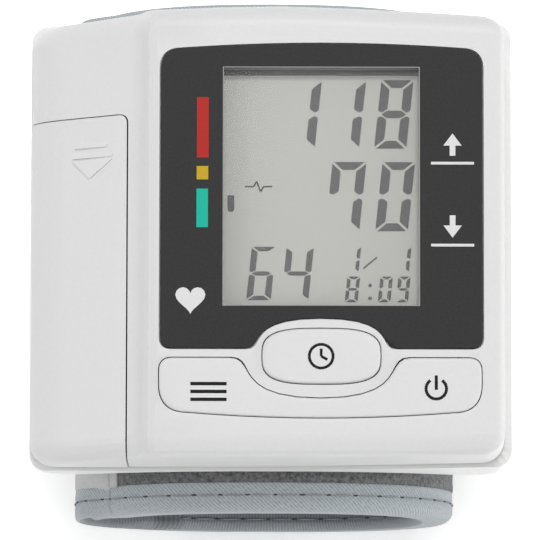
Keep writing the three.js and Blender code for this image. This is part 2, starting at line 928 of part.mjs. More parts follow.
function makeDisplayHolder() {
  const rim = fitGap + holderRim;
  const top = -wall - fitGap;
  const bottom = -boardDepth + fitGap;
  const outside = box(glass.left - rim, glass.right + rim, glass.bottom - rim, glass.top + rim, bottom, top);
  const pocket = box(
    glass.left - fitGap,
    glass.right + fitGap,
    glass.bottom - fitGap,
    glass.top + fitGap,
    -glassDepth - fitGap,
    0,
  );
  const well = box(
    glass.left + holderLedge,
    glass.right - holderLedge,
    glass.bottom + holderLedge,
    glass.top,
    -reach,
    0,
  );
  return outside.subtract(pocket).subtract(well);
}

function makeDisplayConnector() {
  return box(
    glass.left + holderLedge + connectorEndMargin,
    glass.right - holderLedge - connectorEndMargin,
    glass.top - fitGap - connectorWidth,
    glass.top - fitGap,
    -boardDepth + fitGap,
    -glassDepth - fitGap,
  );
}

function makeSetupButton() {
  const tabTop = -wall - fitGap;
  const reachX = setupWidth / 2 + setupTab;
  const tabs = box(
    setupX - reachX,
    setupX + reachX,
    setupY - setupTabWidth / 2,
    setupY + setupTabWidth / 2,
    tabTop - setupTabThickness,
    tabTop,
  );
  return crownedPrism(setupShape(0), -keyCapDepth, keyProud, keyCrown)
    .add(tabs)
    .add(bossAt(pressPlaces.setup, stemRadius, -stemDepth, -keyCapDepth / 2));
}

function makeRockerKey() {
  const lug = box(
    rockerX - pivotLugWidth / 2,
    rockerX + pivotLugWidth / 2,
    rockerBottom - rockerBow + fitGap,
    rockerInnerLow - fitGap,
    -pivotDepth - pivotRadius,
    -keyCapDepth / 2,
  );
  const pin = lyingCylinder(
    rockerX,
    -pivotDepth,
    pivotRadius,
    bearingOuterY - pivotReach,
    bearingInnerY + pivotReach,
    smallSegments,
  );
  return crownedPrism(rockerShape(0), -keyCapDepth, keyProud, keyCrown)
    .add(lug)
    .add(pin)
    .add(bossAt(pressPlaces.memory, stemRadius, -stemDepth, -keyCapDepth / 2))
    .add(bossAt(pressPlaces.power, stemRadius, -stemDepth, -keyCapDepth / 2));
}

function makeDome([x, y]) {
  const foot = -boardDepth + fitGap;
  const profile = [
    new THREE.Vector2(0, 0),
    new THREE.Vector2(domeRadius, 0),
    new THREE.Vector2(domeRadius, domeLip),
    new THREE.Vector2(domeTopRadius, domeHeight - domeLip),
    new THREE.Vector2(domeTopRadius, domeHeight),
    new THREE.Vector2(0, domeHeight),
  ];
  const geometry = new THREE.LatheGeometry(profile, roundSegments);
  geometry.rotateX(Math.PI / 2);
  geometry.translate(x, y, foot);
  return solidOf(geometry);
}

function makeBoard() {
  let board = box(boardLeft, boardRight, boardBottom, boardTop, -boardBackDepth, -boardDepth);
  for (const place of screwPlaces) {
    board = board.subtract(bossAt(place, screwBossRadius + fitGap, -reach, reach));
  }
  for (const place of boardScrewPlaces) {
    board = board.subtract(bossAt(place, boardScrewRadius + fitGap, -reach, reach));
  }
  return board;
}

function makeBoardScrew(place) {
  const seat = -boardBackDepth - fitGap;
  const tip = seat + boardThickness + boardScrewLength;
  return bossAt(place, boardScrewHeadRadius, seat - boardScrewHead, seat)
    .add(bossAt(place, boardScrewRadius, seat - boardScrewHead / 2, tip));
}

function makeChip() {
  const top = -boardBackDepth - fitGap;
  return prism(rectangle(windowX, chipY, chipSize, chipSize), top - chipThickness, top);
}

// The largest cylinder that lies between the board and the curved back, a gap away from each
function roomUnderBoard(x) {
  const rise = caseDepth + backRadius - boardBackDepth - underBoardGap;
  const back = backRadius + wall + aboveBackGap;
  const radius = (x * x + rise * rise - back * back) / (2 * (rise + back));
  return { radius, depth: boardBackDepth + underBoardGap + radius };
}

const pumpRoom = roomUnderBoard(pumpX);
const pumpRadius = pumpRoom.radius;
const pumpDepth = pumpRoom.depth;
const motorEnd = motorStart + motorLength;
const pumpHeadStart = motorEnd + fitGap;
const pumpHeadEnd = pumpHeadStart + pumpHeadLength;
const sensorX = boardLeft + sensorFromBoardEdge + sensorSize / 2;
const sensorRight = sensorX + sensorSize / 2;
const manifoldX = (sensorRight + pumpX - pumpRadius) / 2;
const manifoldDepth = (boardBackDepth + caseDepth - wall) / 2;
const manifoldHalf = manifoldSize / 2;
const valveRoom = roomUnderBoard(manifoldX);

// The sensor hangs from the board, with its nipple at the level of the manifold
function makeSensor() {
  const top = -boardBackDepth - fitGap;
  const bottom = -manifoldDepth - nippleRadius - sensorFloor;
  const body = prism(rectangle(sensorX, sensorY, sensorSize, sensorSize), bottom, top);
  const nipple = new THREE.CylinderGeometry(nippleRadius, nippleRadius, sensorSize / 2, smallSegments);
  nipple.rotateZ(Math.PI / 2);
  nipple.translate(sensorRight + nippleLength - sensorSize / 4, sensorY, -manifoldDepth);
  return body.add(solidOf(nipple));
}

function alongPump(radius, start, end, segments = roundSegments) {
  return lyingCylinder(pumpX, -pumpDepth, radius, start, end, segments);
}

function makePumpMotor() {
  return alongPump(pumpRadius, motorStart, motorEnd);
}

function makePumpHead() {
  const insideEnd = pumpHeadEnd - pumpHeadWall;
  const nippleStart = pumpHeadEnd - pumpHeadWall / 2;
  return alongPump(pumpRadius, pumpHeadStart, pumpHeadEnd)
    .subtract(alongPump(pumpRadius - pumpHeadWall, pumpHeadStart - wall, insideEnd))
    .add(alongPump(nippleRadius, nippleStart, pumpHeadEnd + nippleLength, smallSegments));
}

function makePumpCrank() {
  const shaftStart = motorEnd + fitGap;
  const discStart = shaftStart + crankThickness / 2;
  const discEnd = discStart + crankThickness;
  const pin = lyingCylinder(
    pumpX + crankThrow,
    -pumpDepth,
    crankPinRadius,
    discStart + crankThickness / 2,
    discEnd + crankPinLength,
    smallSegments,
  );
  return alongPump(crankShaftRadius, shaftStart, discEnd, smallSegments)
    .add(alongPump(crankRadius, discStart, discEnd, smallSegments))
    .add(pin);
}

function alongValve(radius, start, end, segments = roundSegments) {
  return lyingCylinder(manifoldX, -valveRoom.depth, radius, start, end, segments);
}

function makeValveBody() {
  const end = valveStart + valveLength;
  const boreEnd = valveStart + plungerBore;
  return alongValve(valveRoom.radius, valveStart, end)
    .subtract(alongValve(plungerRadius + fitGap, valveStart - wall, boreEnd, smallSegments))
    .add(alongValve(nippleRadius, end - wall, end + nippleLength, smallSegments));
}

function makeValvePlunger() {
  const innerEnd = valveStart + plungerBore - valveTravel - fitGap;
  return alongValve(plungerRadius, valveStart - plungerReach, innerEnd, smallSegments);
}

function makeManifold() {
  return box(
    manifoldX - manifoldHalf,
    manifoldX + manifoldHalf,
    manifoldY - manifoldHalf,
    manifoldY + manifoldHalf,
    -manifoldDepth - nozzleRadius,
    -manifoldDepth + nozzleRadius,
  );
}

function makeValveHose() {
  const start = valveStart + valveLength + nippleLength + fitGap;
  const end = manifoldY - manifoldHalf - fitGap;
  return hoseAlong([
    new THREE.Vector3(manifoldX, start, -valveRoom.depth),
    new THREE.Vector3(manifoldX, end, -manifoldDepth),
  ]);
}

function makePumpHose() {
  const start = pumpHeadEnd + nippleLength + fitGap;
  const end = manifoldX + manifoldHalf + fitGap;
  const middleDepth = (pumpDepth + manifoldDepth) / 2;
  return hoseAlong([
    new THREE.Vector3(pumpX, start, -pumpDepth),
    new THREE.Vector3(pumpX, start + hoseRadius, -pumpDepth),
    new THREE.Vector3(pumpX - hoseRadius, manifoldY - hoseRadius / 2, -middleDepth),
    new THREE.Vector3(end + 2 * hoseRadius, manifoldY, -manifoldDepth),
    new THREE.Vector3(end, manifoldY, -manifoldDepth),
  ]);
}

function makeSensorHose() {
  const start = sensorRight + nippleLength + fitGap;
  const end = manifoldX - manifoldHalf - fitGap;
  return hoseAlong([
    new THREE.Vector3(start, sensorY, -manifoldDepth),
    new THREE.Vector3(end, manifoldY, -manifoldDepth),
  ]);
}

function makeNozzle() {
  const top = -manifoldDepth - nozzleRadius - fitGap;
  const bottom = cuffLevelAt(manifoldX, -fleeceThickness - fitGap - stiffenerThickness) - faceLevel;
  return uprightCylinder(manifoldX, manifoldY, nozzleRadius, bottom, top, smallSegments)
    .subtract(uprightCylinder(manifoldX, manifoldY, nozzleBore, -reach, reach, smallSegments));
}

function makeCaseScrew(place) {
  const seat = screwSeatLevel(place[0]) - fitGap;
  return bossAt(place, screwHeadRadius, seat - screwHead, seat)
    .add(bossAt(place, screwRadius, seat - screwHead / 2, seat + screwLength));
}

// Cells and contacts

function makeCell(centre, start, nubUp) {
  const body = cellLength - cellNubLength;
  const profile = [
    new THREE.Vector2(0, 0),
    new THREE.Vector2(cellRadius, 0),
    new THREE.Vector2(cellRadius, body),
    new THREE.Vector2(cellNubRadius, body),
    new THREE.Vector2(cellNubRadius, cellLength),
    new THREE.Vector2(0, cellLength),
  ];
  const geometry = new THREE.LatheGeometry(profile, roundSegments);
  if (!nubUp) {
    geometry.rotateX(Math.PI);
    geometry.translate(0, cellLength, 0);
  }
  geometry.translate(centre.x, start, centre.y);
  return solidOf(geometry);
}

function contactShape(first, second) {
  const along = new THREE.Vector2().subVectors(second, first);
  const turn = Math.atan2(along.y, along.x);
  const shape = new THREE.Shape();
  shape.absarc(second.x, second.y, contactRadius, turn - Math.PI / 2, turn + Math.PI / 2);
  shape.absarc(first.x, first.y, contactRadius, turn + Math.PI / 2, turn + 1.5 * Math.PI);
  return shape;
}

function makeBridgeContact() {
  const end = compartmentTop - fitGap;
  return prismAlongY(contactShape(outerCell, innerCell), end - contactThickness, end);
}

function makeTerminal(cell) {
  const start = compartmentBottom + fitGap;
  return lyingCylinder(cell.x, cell.y, contactRadius, start, start + contactThickness);
}

// A coil that widens from the cell end to its contact plate
class SpringCurve extends THREE.Curve {
  constructor(centre, from, to) {
    super();
    this.centre = centre;
    this.from = from;
    this.to = to;
  }

  getPoint(t, target = new THREE.Vector3()) {
    const angle = 2 * Math.PI * springCurls * t;
    const radius = springWideRadius + (springNarrowRadius - springWideRadius) * t;
    const y = this.from + (this.to - this.from) * t;
    return target.set(
      this.centre.x + radius * Math.cos(angle),
      y,
      this.centre.y + radius * Math.sin(angle),
    );
  }
}

// The wire's nearest approach to itself, half a curl or more along
function leastSpringGap(curve) {
  const points = curve.getPoints(springCurls * springProbesPerCurl);
  let least = Infinity;
  for (let i = 0; i < points.length; i++) {
    for (let j = i + springProbesPerCurl / 2; j < points.length; j++) {
      least = Math.min(least, points[i].distanceTo(points[j]));
    }
  }
  return least - springWire;
}

function makeSpring(name, centre, from, to) {
  const curve = new SpringCurve(centre, from, to);
  const section = [];
  for (let i = 0; i < springSides; i++) {
    const angle = (2 * Math.PI * i) / springSides;
    section.push(new THREE.Vector2(Math.cos(angle), Math.sin(angle)).multiplyScalar(springWire / 2));
  }
  const geometry = new THREE.ExtrudeGeometry(new THREE.Shape(section), {
    steps: Math.round(springCurls * springStepsPerCurl),
    bevelEnabled: false,
    extrudePath: curve,
  });
  console.log(`${name} least gap to itself ${leastSpringGap(curve).toFixed(2)} mm`);
  return solidOf(geometry);
}

// Cuff

const radians = Math.PI / 180;
const cuffHalfHeight = (cuffHeight + restFlat) / 2;
const cuffCentre = cuffHeight - cuffHalfHeight;
const bindingStart = cuffLength / 2 - bindingWidth;
const layerHalfLength = bindingStart - fitGap;
const tongueHalfLength = cuffLength / 2 - bindingThickness - fitGap;
const stiffenerOuter = -fleeceThickness - fitGap;
const bladderOuter = stiffenerOuter - stiffenerThickness - fitGap;
const liningOuter = bladderOuter - bladderThickness - fitGap;
const hookInner = fitGap;
const strapInner = hookInner + hookThickness + fitGap;

// A rounded loop with a flat to rest on, grown outwards by an offset
function cuffPoint(angle, offset) {
  const c = Math.cos(angle * radians);
  const s = Math.sin(angle * radians);
  const power = 2 / cuffSquareness;
  const x = (cuffWidth / 2 + offset) * Math.sign(c) * Math.abs(c) ** power;
  const z = cuffCentre + (cuffHalfHeight + offset) * Math.sign(s) * Math.abs(s) ** power;
  return new THREE.Vector2(x, Math.max(z, -offset));
}

function cuffLevelAt(x, offset) {
  const share = Math.abs(x / (cuffWidth / 2 + offset)) ** cuffSquareness;
  return cuffCentre + (cuffHalfHeight + offset) * (1 - share) ** (1 / cuffSquareness);
}

function cuffBand(outerAt, innerAt, start, end, y0, y1, steps = bandSteps) {
  const outside = [];
  const inside = [];
  for (let i = 0; i <= steps; i++) {
    const angle = start + ((end - start) * i) / steps;
    outside.push(cuffPoint(angle, outerAt(angle)));
    inside.push(cuffPoint(angle, innerAt(angle)));
  }
  return prismAlongY(new THREE.Shape([...outside, ...inside.reverse()]), y0, y1);
}

function level(offset) {
  return () => offset;
}

// A layer that runs the whole way round the cuff
function wholeBand(outerAt, innerAt, half) {
  return cuffBand(outerAt, innerAt, cuffStartAngle, cuffEndAngle, -half, half);
}

function nozzleRoom() {
  const y = manifoldY + caseFromCuffMiddle;
  return uprightCylinder(manifoldX, y, nozzleRadius + fitGap, cuffCentre, reach, smallSegments);
}

function makeFleece() {
  const edgeOuter = level(-bindingSink - bindingThickness - fitGap);
  const inner = level(-fleeceThickness);
  return wholeBand(level(0), inner, layerHalfLength)
    .add(wholeBand(edgeOuter, inner, tongueHalfLength))
    .subtract(nozzleRoom());
}

function makeStiffener() {
  const half = stiffenerLength / 2;
  const inner = level(stiffenerOuter - stiffenerThickness);
  return cuffBand(level(stiffenerOuter), inner, stiffenerStartAngle, stiffenerEndAngle, -half, half)
    .subtract(nozzleRoom());
}

function makeBladder() {
  const half = bladderLength / 2;
  const inner = level(bladderOuter - bladderThickness);
  return cuffBand(level(bladderOuter), inner, bladderStartAngle, bladderEndAngle, -half, half);
}

// Past the stiffener the lining draws up to the fleece, so both ends of the cuff are thin
function liningOuterAt(angle) {
  const low = THREE.MathUtils.smoothstep(-angle, -stiffenerStartAngle + taperMarginAngle, -taperStartAngle);
  const high = THREE.MathUtils.smoothstep(angle, stiffenerEndAngle + taperMarginAngle, taperEndAngle);
  return THREE.MathUtils.lerp(liningOuter, stiffenerOuter, Math.max(low, high));
}

function makeLining() {
  const innerAt = (angle) => liningOuterAt(angle) - liningThickness;
  const edgeInnerAt = (angle) => liningOuterAt(angle) - liningThickness / 2;
  return wholeBand(liningOuterAt, innerAt, layerHalfLength)
    .add(wholeBand(liningOuterAt, edgeInnerAt, tongueHalfLength));
}

// Folded tape over an edge: two legs and the web between them, side 1 is towards +Y
function makeBinding(outerAt, innerAt, start, end, side, steps) {
  const outerLegAt = (angle) => outerAt(angle) - bindingThickness;
  const innerLegAt = (angle) => innerAt(angle) + bindingThickness;
  const far = cuffLength / 2;
  const web = far - bindingThickness;
  const span = (low, high) => (side > 0 ? [low, high] : [-high, -low]);
  const whole = cuffBand(outerAt, innerAt, start, end, ...span(bindingStart, far), steps);
  const roomSpan = span(bindingStart - bindingOverrun, web);
  const roomStart = start - bindingOverrun;
  const roomEnd = end + bindingOverrun;
  const room = cuffBand(outerLegAt, innerLegAt, roomStart, roomEnd, ...roomSpan, steps);
  return whole.subtract(room);
}

function makeCuffBinding(side) {
  const depth = liningThickness / 2 + fitGap + bindingThickness;
  const innerAt = (angle) => liningOuterAt(angle) - depth;
  return makeBinding(level(-bindingSink), innerAt, cuffStartAngle, cuffEndAngle, side, bandSteps);
}

// The strap lies flush at its fold and rises over the cuff's free end where it fastens
function strapOuterAt(angle) {
  const share = (strapRampStartAngle - angle) / (strapRampStartAngle - strapRampEndAngle);
  return (strapInner + strapThickness) * THREE.MathUtils.smoothstep(share, 0, 1);
}

function strapInnerAt(angle) {
  return strapOuterAt(angle) - strapThickness;
}

const strapStartAngle = strapHingeAngle - (cuffStartAngle + fullTurnAngle - strapHingeAngle);

function strapBand(outerAt, innerAt, half) {
  return cuffBand(outerAt, innerAt, strapEndAngle, strapStartAngle, -half, half, strapSteps);
}

function makeStrap() {
  const edge = bindingThickness + fitGap;
  const edgeOuter = (angle) => strapOuterAt(angle) - bindingSink - edge;
  const edgeInner = (angle) => strapInnerAt(angle) - bindingSink + edge;
  return strapBand(strapOuterAt, strapInnerAt, layerHalfLength)
    .add(strapBand(edgeOuter, edgeInner, tongueHalfLength));
}

function makeStrapBinding(side) {
  const outer = (angle) => strapOuterAt(angle) - bindingSink;
  const inner = (angle) => strapInnerAt(angle) - bindingSink;
  return makeBinding(outer, inner, strapEndAngle, strapStartAngle, side, strapSteps);
}

function makeHookPatch() {
  const half = hookLength / 2;
  const outer = level(hookInner + hookThickness);
  return cuffBand(outer, level(hookInner), hookStartAngle, hookEndAngle, -half, half, strapSteps / 2);
}

// Assembly

const shellWhite = 0xe2e2df;
const innerWhite = 0xf0f0ee;
const panelGrey = 0x3a3c40;
const lensClear = 0xdde4e4;
const glassGrey = 0xb9beb6;
const boardGreen = 0x2f6b48;
const rubberGrey = 0x8f8f8f;
const blackPlastic = 0x202124;
const hoseWhite = 0xdadada;
const steel = 0xc4c6c9;
const cellGrey = 0x8a8d90;
const fleeceGrey = 0x34373c;
const bladderGrey = 0x9aa4ad;
const liningBlue = 0x5c6c7c;
const bindingBlue = 0x8396a6;
const strapGrey = 0xa4a6a7;
const hookGrey = 0x4a4d52;

function makeCase() {
  const group = new THREE.Group();
  addPart(group, 'front_housing', makeFrontHousing(), plastic(shellWhite));
  addPart(group, 'rear_housing', makeRearHousing(), plastic(shellWhite));
  addPart(group, 'battery_cover', makeBatteryCover(), plastic(shellWhite));
  addPart(group, 'display_panel', makeDisplayPanel(), plastic(panelGrey));
  addPart(group, 'window_lens', makeWindowLens(), clear(lensClear));
  addPart(group, 'lcd_glass', makeDisplayGlass(), clear(glassGrey));
  addPart(group, 'lcd_holder', makeDisplayHolder(), plastic(innerWhite));
  addPart(group, 'lcd_connector', makeDisplayConnector(), rubber(rubberGrey));
  addPart(group, 'setup_button', makeSetupButton(), plastic(shellWhite));
  addPart(group, 'memory_power_key', makeRockerKey(), plastic(shellWhite));
  for (const [name, place] of Object.entries(pressPlaces)) {
    addPart(group, `${name}_dome`, makeDome(place), rubber(rubberGrey));
  }
  addPart(group, 'circuit_board', makeBoard(), plastic(boardGreen));
  boardScrewPlaces.forEach((place, i) => {
    addPart(group, `board_screw_${i + 1}`, makeBoardScrew(place), metal(steel));
  });
  addPart(group, 'controller_chip', makeChip(), plastic(blackPlastic));
  addPart(group, 'pressure_sensor', makeSensor(), plastic(blackPlastic));
  addPart(group, 'pump_motor', makePumpMotor(), metal(steel));
  addPart(group, 'pump_head', makePumpHead(), plastic(blackPlastic));
  addPart(group, 'pump_crank', makePumpCrank(), metal(steel));
  addPart(group, 'valve_body', makeValveBody(), metal(steel));
  addPart(group, 'valve_plunger', makeValvePlunger(), metal(steel));
  addPart(group, 'air_manifold', makeManifold(), plastic(innerWhite));
  addPart(group, 'valve_hose', makeValveHose(), rubber(hoseWhite));
  addPart(group, 'pump_hose', makePumpHose(), rubber(hoseWhite));
  addPart(group, 'sensor_hose', makeSensorHose(), rubber(hoseWhite));
  addPart(group, 'cuff_nozzle', makeNozzle(), plastic(innerWhite));
  screwPlaces.forEach((place, i) => {
    addPart(group, `case_screw_${i + 1}`, makeCaseScrew(place), metal(steel));
  });
  addPart(group, 'outer_cell', makeCell(outerCell, outerCellStart, true), metal(cellGrey));
  addPart(group, 'inner_cell', makeCell(innerCell, innerCellStart, false), metal(cellGrey));
  addPart(group, 'bridge_contact', makeBridgeContact(), metal(steel));
  addPart(group, 'positive_terminal', makeTerminal(innerCell), metal(steel));
  addPart(group, 'negative_terminal', makeTerminal(outerCell), metal(steel));
  const springInset = contactThickness + 2 * fitGap + springWire / 2;
  const outerSpring = makeSpring(
    'outer_cell_spring',
    outerCell,
    compartmentBottom + springInset,
    outerCellStart - fitGap - springWire / 2,
  );
  const innerSpring = makeSpring(
    'inner_cell_spring',
    innerCell,
    compartmentTop - springInset,
    innerCellStart + cellLength + fitGap + springWire / 2,
  );
  addPart(group, 'outer_cell_spring', outerSpring, metal(steel));
  addPart(group, 'inner_cell_spring', innerSpring, metal(steel));
  group.position.set(0, caseFromCuffMiddle, faceLevel);
  return group;
}

function makeCuff() {
  const group = new THREE.Group();
  addPart(group, 'cuff_fleece', makeFleece(), fabric(fleeceGrey));
  addPart(group, 'cuff_stiffener', makeStiffener(), plastic(innerWhite));
  addPart(group, 'cuff_bladder', makeBladder(), rubber(bladderGrey));
  addPart(group, 'cuff_lining', makeLining(), fabric(liningBlue));
  addPart(group, 'lower_binding', makeCuffBinding(-1), fabric(bindingBlue));
  addPart(group, 'upper_binding', makeCuffBinding(1), fabric(bindingBlue));
  addPart(group, 'closing_strap', makeStrap(), fabric(strapGrey));
  addPart(group, 'strap_lower_binding', makeStrapBinding(-1), fabric(bindingBlue));
  addPart(group, 'strap_upper_binding', makeStrapBinding(1), fabric(bindingBlue));
  addPart(group, 'hook_patch', makeHookPatch(), fabric(hookGrey));
  return group;
}

const monitor = new THREE.Group();
monitor.name = 'wrist_blood_pressure_monitor';
monitor.add(makeCase());
monitor.add(makeCuff());

export default monitor;
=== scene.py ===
import json
import math

import bpy
from mathutils import Matrix, Vector, noise


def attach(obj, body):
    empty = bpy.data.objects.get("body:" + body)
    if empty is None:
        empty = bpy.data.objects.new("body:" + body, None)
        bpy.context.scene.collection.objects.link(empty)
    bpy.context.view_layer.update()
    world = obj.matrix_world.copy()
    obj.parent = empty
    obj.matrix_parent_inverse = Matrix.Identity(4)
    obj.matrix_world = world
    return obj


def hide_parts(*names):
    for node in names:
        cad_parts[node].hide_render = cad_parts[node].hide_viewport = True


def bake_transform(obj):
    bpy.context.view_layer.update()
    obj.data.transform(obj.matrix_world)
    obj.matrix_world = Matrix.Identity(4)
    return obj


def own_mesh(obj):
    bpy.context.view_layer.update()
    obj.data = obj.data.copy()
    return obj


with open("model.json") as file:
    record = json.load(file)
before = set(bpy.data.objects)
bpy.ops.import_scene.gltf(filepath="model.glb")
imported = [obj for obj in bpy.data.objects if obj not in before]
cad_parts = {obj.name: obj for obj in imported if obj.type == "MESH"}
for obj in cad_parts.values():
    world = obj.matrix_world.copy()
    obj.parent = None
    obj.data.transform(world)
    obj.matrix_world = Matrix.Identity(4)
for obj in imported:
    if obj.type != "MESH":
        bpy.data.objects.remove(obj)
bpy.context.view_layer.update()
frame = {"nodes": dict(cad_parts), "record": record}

MM = 0.001

# Levels and places on the case, in millimetres
FACE = 76.3
SWELL = 0.17
PANEL_TOP = FACE - 0.08 + SWELL
KEY_TOP = FACE + 0.35 + SWELL
LCD_TOP = FACE - 2.5
PRINT = 0.02
WINDOW = (-6.83, -9.53, 21.83, 25.53)
# Width of the painted highlight line round the display window
EDGE_HIGHLIGHT = 0.13
# Height of the painted shadow strip along the top of the display window
TOP_SHADOW_HEIGHT = 0.85
WING_FOOT = Vector((-20.4, 0, FACE - 5.3))
WING_EDGE = Vector((-30.5, 0, FACE - 12.6))

# Cuff loop, in millimetres and degrees
CUFF_HALF_WIDTH = 28.3
CUFF_HEIGHT = 55.0
REST_FLAT = 0.5
CUFF_POWER = 2 / 2.4
CUFF_HALF_LENGTH = 38.5
TAPE_WIDTH = 4.4
TAPE_THICKNESS = 0.5
TAPE_SINK = 0.1
FLEECE_THICKNESS = 1.6
LINING_OUTER = -4.9
LINING_THIN = -1.9
LINING_THICKNESS = 1.0
LINING_SLACK = 0.3
CUFF_START = 235.0
CUFF_END = 532.0
STRAP_START = 205.0
STRAP_END = 146.0
FOLD_START = 212.0
RISE_START = 216.0
RISE_RUN = 38.0
TAPE_LEVEL_FROM = 222.0
FOLD_END = 226.0
THIN_LOW = (124, 134)
THIN_HIGH = (152, 166)
STRAP_THICKNESS = 1.2
STRAP_RISE = 1.8
TIP_RISE = 0.18
TIP_THICKNESS = 0.45
TIP_SINK = 0.22
TIP_FLAT = 0.3
TIP_RUN = 19.0
RIM_RADIUS = 1.5
HOOK_INNER = 0.3
STITCH_FROM_RIM = 2.55
INNER_STITCH_FROM_RIM = 1.8
STITCH_PITCH = 4.1
STITCH_LENGTH = 3.0
STITCH_RADIUS = 0.17
STITCH_LIFT = 0.22
SEAM_DEPTH = 0.16
SEAM_REACH = 0.55
TAPE_BULGE = 0.12
# Size of the dark marks at the stitch holes, which are painted shade
HOLE_SHADE_LENGTH = 0.9
HOLE_SHADE_RADIUS = 0.15


# Materials

CLOTH_ROUGHNESS = 0.85
NAP_ROUGHNESS = 0.95
WAVE_SCALE_OF_1_MM = 0.314
LENS_ALPHA = 0.06


def srgb(red, green, blue):
    """A colour of 0 to 255 as linear shares."""
    return [((v / 255 + 0.055) / 1.055) ** 2.4 if v > 10 else v / 255 / 12.92 for v in (red, green, blue)]


def shader_of(name, roughness, metallic=0.0):
    """A new material, its node tree and its main shader."""
    material = bpy.data.materials.new(name)
    material.use_nodes = True
    shader = material.node_tree.nodes["Principled BSDF"]
    shader.inputs["Roughness"].default_value = roughness
    shader.inputs["Metallic"].default_value = metallic
    return material, material.node_tree, shader


def grained(name, colour, roughness, metallic=0.0, scale=2500.0, mottle=0.02, depth=0.004, specular=0.5):
    """A moulded or plain surface with fine grain and a slight unevenness of tone."""
    material, tree, shader = shader_of(name, roughness, metallic)
    shader.inputs["Specular IOR Level"].default_value = specular
    coords = tree.nodes.new("ShaderNodeTexCoord")
    grain = tree.nodes.new("ShaderNodeTexNoise")
    grain.inputs["Scale"].default_value = scale
    grain.inputs["Detail"].default_value = 2.0
    tree.links.new(coords.outputs["Object"], grain.inputs["Vector"])
    ramp = tree.nodes.new("ShaderNodeValToRGB")
    ramp.color_ramp.elements[0].position = 0.3
    ramp.color_ramp.elements[1].position = 0.7
    ramp.color_ramp.elements[0].color = [c * (1 - mottle) for c in colour] + [1]
    ramp.color_ramp.elements[1].color = [min(c * (1 + mottle), 1) for c in colour] + [1]
    tree.links.new(grain.outputs["Fac"], ramp.inputs["Fac"])
    tree.links.new(ramp.outputs["Color"], shader.inputs["Base Color"])
    bump = tree.nodes.new("ShaderNodeBump")
    bump.inputs["Strength"].default_value = 0.5
    bump.inputs["Distance"].default_value = depth * MM
    tree.links.new(grain.outputs["Fac"], bump.inputs["Height"])
    tree.links.new(bump.outputs["Normal"], shader.inputs["Normal"])
    return material


def woven(name, dark, light, pitch, depth, turn=45.0, sheen=0.3):
    """A weave of ribs laid out along the cloth's own UV map, which is in millimetres."""
    material, tree, shader = shader_of(name, CLOTH_ROUGHNESS)
    shader.inputs["Sheen Weight"].default_value = sheen
    shader.inputs["Sheen Roughness"].default_value = 0.5
    shader.inputs["Specular IOR Level"].default_value = 0.2
    coords = tree.nodes.new("ShaderNodeTexCoord")
    mapping = tree.nodes.new("ShaderNodeMapping")
    mapping.inputs["Rotation"].default_value = (0, 0, math.radians(turn))
    tree.links.new(coords.outputs["UV"], mapping.inputs["Vector"])
    ribs = tree.nodes.new("ShaderNodeTexWave")
    ribs.inputs["Scale"].default_value = WAVE_SCALE_OF_1_MM / pitch
    ribs.inputs["Distortion"].default_value = 0.6
    ribs.inputs["Detail"].default_value = 1.0
    tree.links.new(mapping.outputs["Vector"], ribs.inputs["Vector"])
    fibres = tree.nodes.new("ShaderNodeTexNoise")
    fibres.inputs["Scale"].default_value = 2.0
    fibres.inputs["Detail"].default_value = 4.0
    tree.links.new(coords.outputs["UV"], fibres.inputs["Vector"])
    blend = tree.nodes.new("ShaderNodeMath")
    blend.operation = "MULTIPLY_ADD"
    blend.inputs[1].default_value = 0.5
    tree.links.new(ribs.outputs["Fac"], blend.inputs[0])
    tree.links.new(fibres.outputs["Fac"], blend.inputs[2])
    ramp = tree.nodes.new("ShaderNodeValToRGB")
    ramp.color_ramp.elements[0].position = 0.35
    ramp.color_ramp.elements[1].position = 1.0
    ramp.color_ramp.elements[0].color = dark + [1]
    ramp.color_ramp.elements[1].color = light + [1]
    tree.links.new(blend.outputs["Value"], ramp.inputs["Fac"])
    tree.links.new(ramp.outputs["Color"], shader.inputs["Base Color"])
    bump = tree.nodes.new("ShaderNodeBump")
    bump.inputs["Strength"].default_value = 0.8
    bump.inputs["Distance"].default_value = depth * MM
    tree.links.new(blend.outputs["Value"], bump.inputs["Height"])
    tree.links.new(bump.outputs["Normal"], shader.inputs["Normal"])
    return material


def napped(name, dark, light, scale, depth):
    """Looped fleece: coarse speckle over fine fibres."""
    material, tree, shader = shader_of(name, NAP_ROUGHNESS)
    shader.inputs["Sheen Weight"].default_value = 0.4
    shader.inputs["Sheen Roughness"].default_value = 0.6
    shader.inputs["Specular IOR Level"].default_value = 0.1
    coords = tree.nodes.new("ShaderNodeTexCoord")
    loops = tree.nodes.new("ShaderNodeTexNoise")
    loops.inputs["Scale"].default_value = scale
    loops.inputs["Detail"].default_value = 6.0
    loops.inputs["Roughness"].default_value = 0.75
    tree.links.new(coords.outputs["Object"], loops.inputs["Vector"])
    ramp = tree.nodes.new("ShaderNodeValToRGB")
    ramp.color_ramp.elements[0].position = 0.36
    ramp.color_ramp.elements[1].position = 0.66
    ramp.color_ramp.elements[0].color = dark + [1]
    ramp.color_ramp.elements[1].color = light + [1]
    tree.links.new(loops.outputs["Fac"], ramp.inputs["Fac"])
    tree.links.new(ramp.outputs["Color"], shader.inputs["Base Color"])
    bump = tree.nodes.new("ShaderNodeBump")
    bump.inputs["Strength"].default_value = 1.0
    bump.inputs["Distance"].default_value = depth * MM
    tree.links.new(loops.outputs["Fac"], bump.inputs["Height"])
    tree.links.new(bump.outputs["Normal"], shader.inputs["Normal"])
    return material


def clear_plastic(name):
    """A clear pane that only tints and shines a little."""
    material = grained(name, [0.95, 0.96, 0.96], 0.05, scale=400.0, mottle=0.01, depth=0.0005)
    shader = material.node_tree.nodes["Principled BSDF"]
    shader.inputs["Alpha"].default_value = LENS_ALPHA
    return material


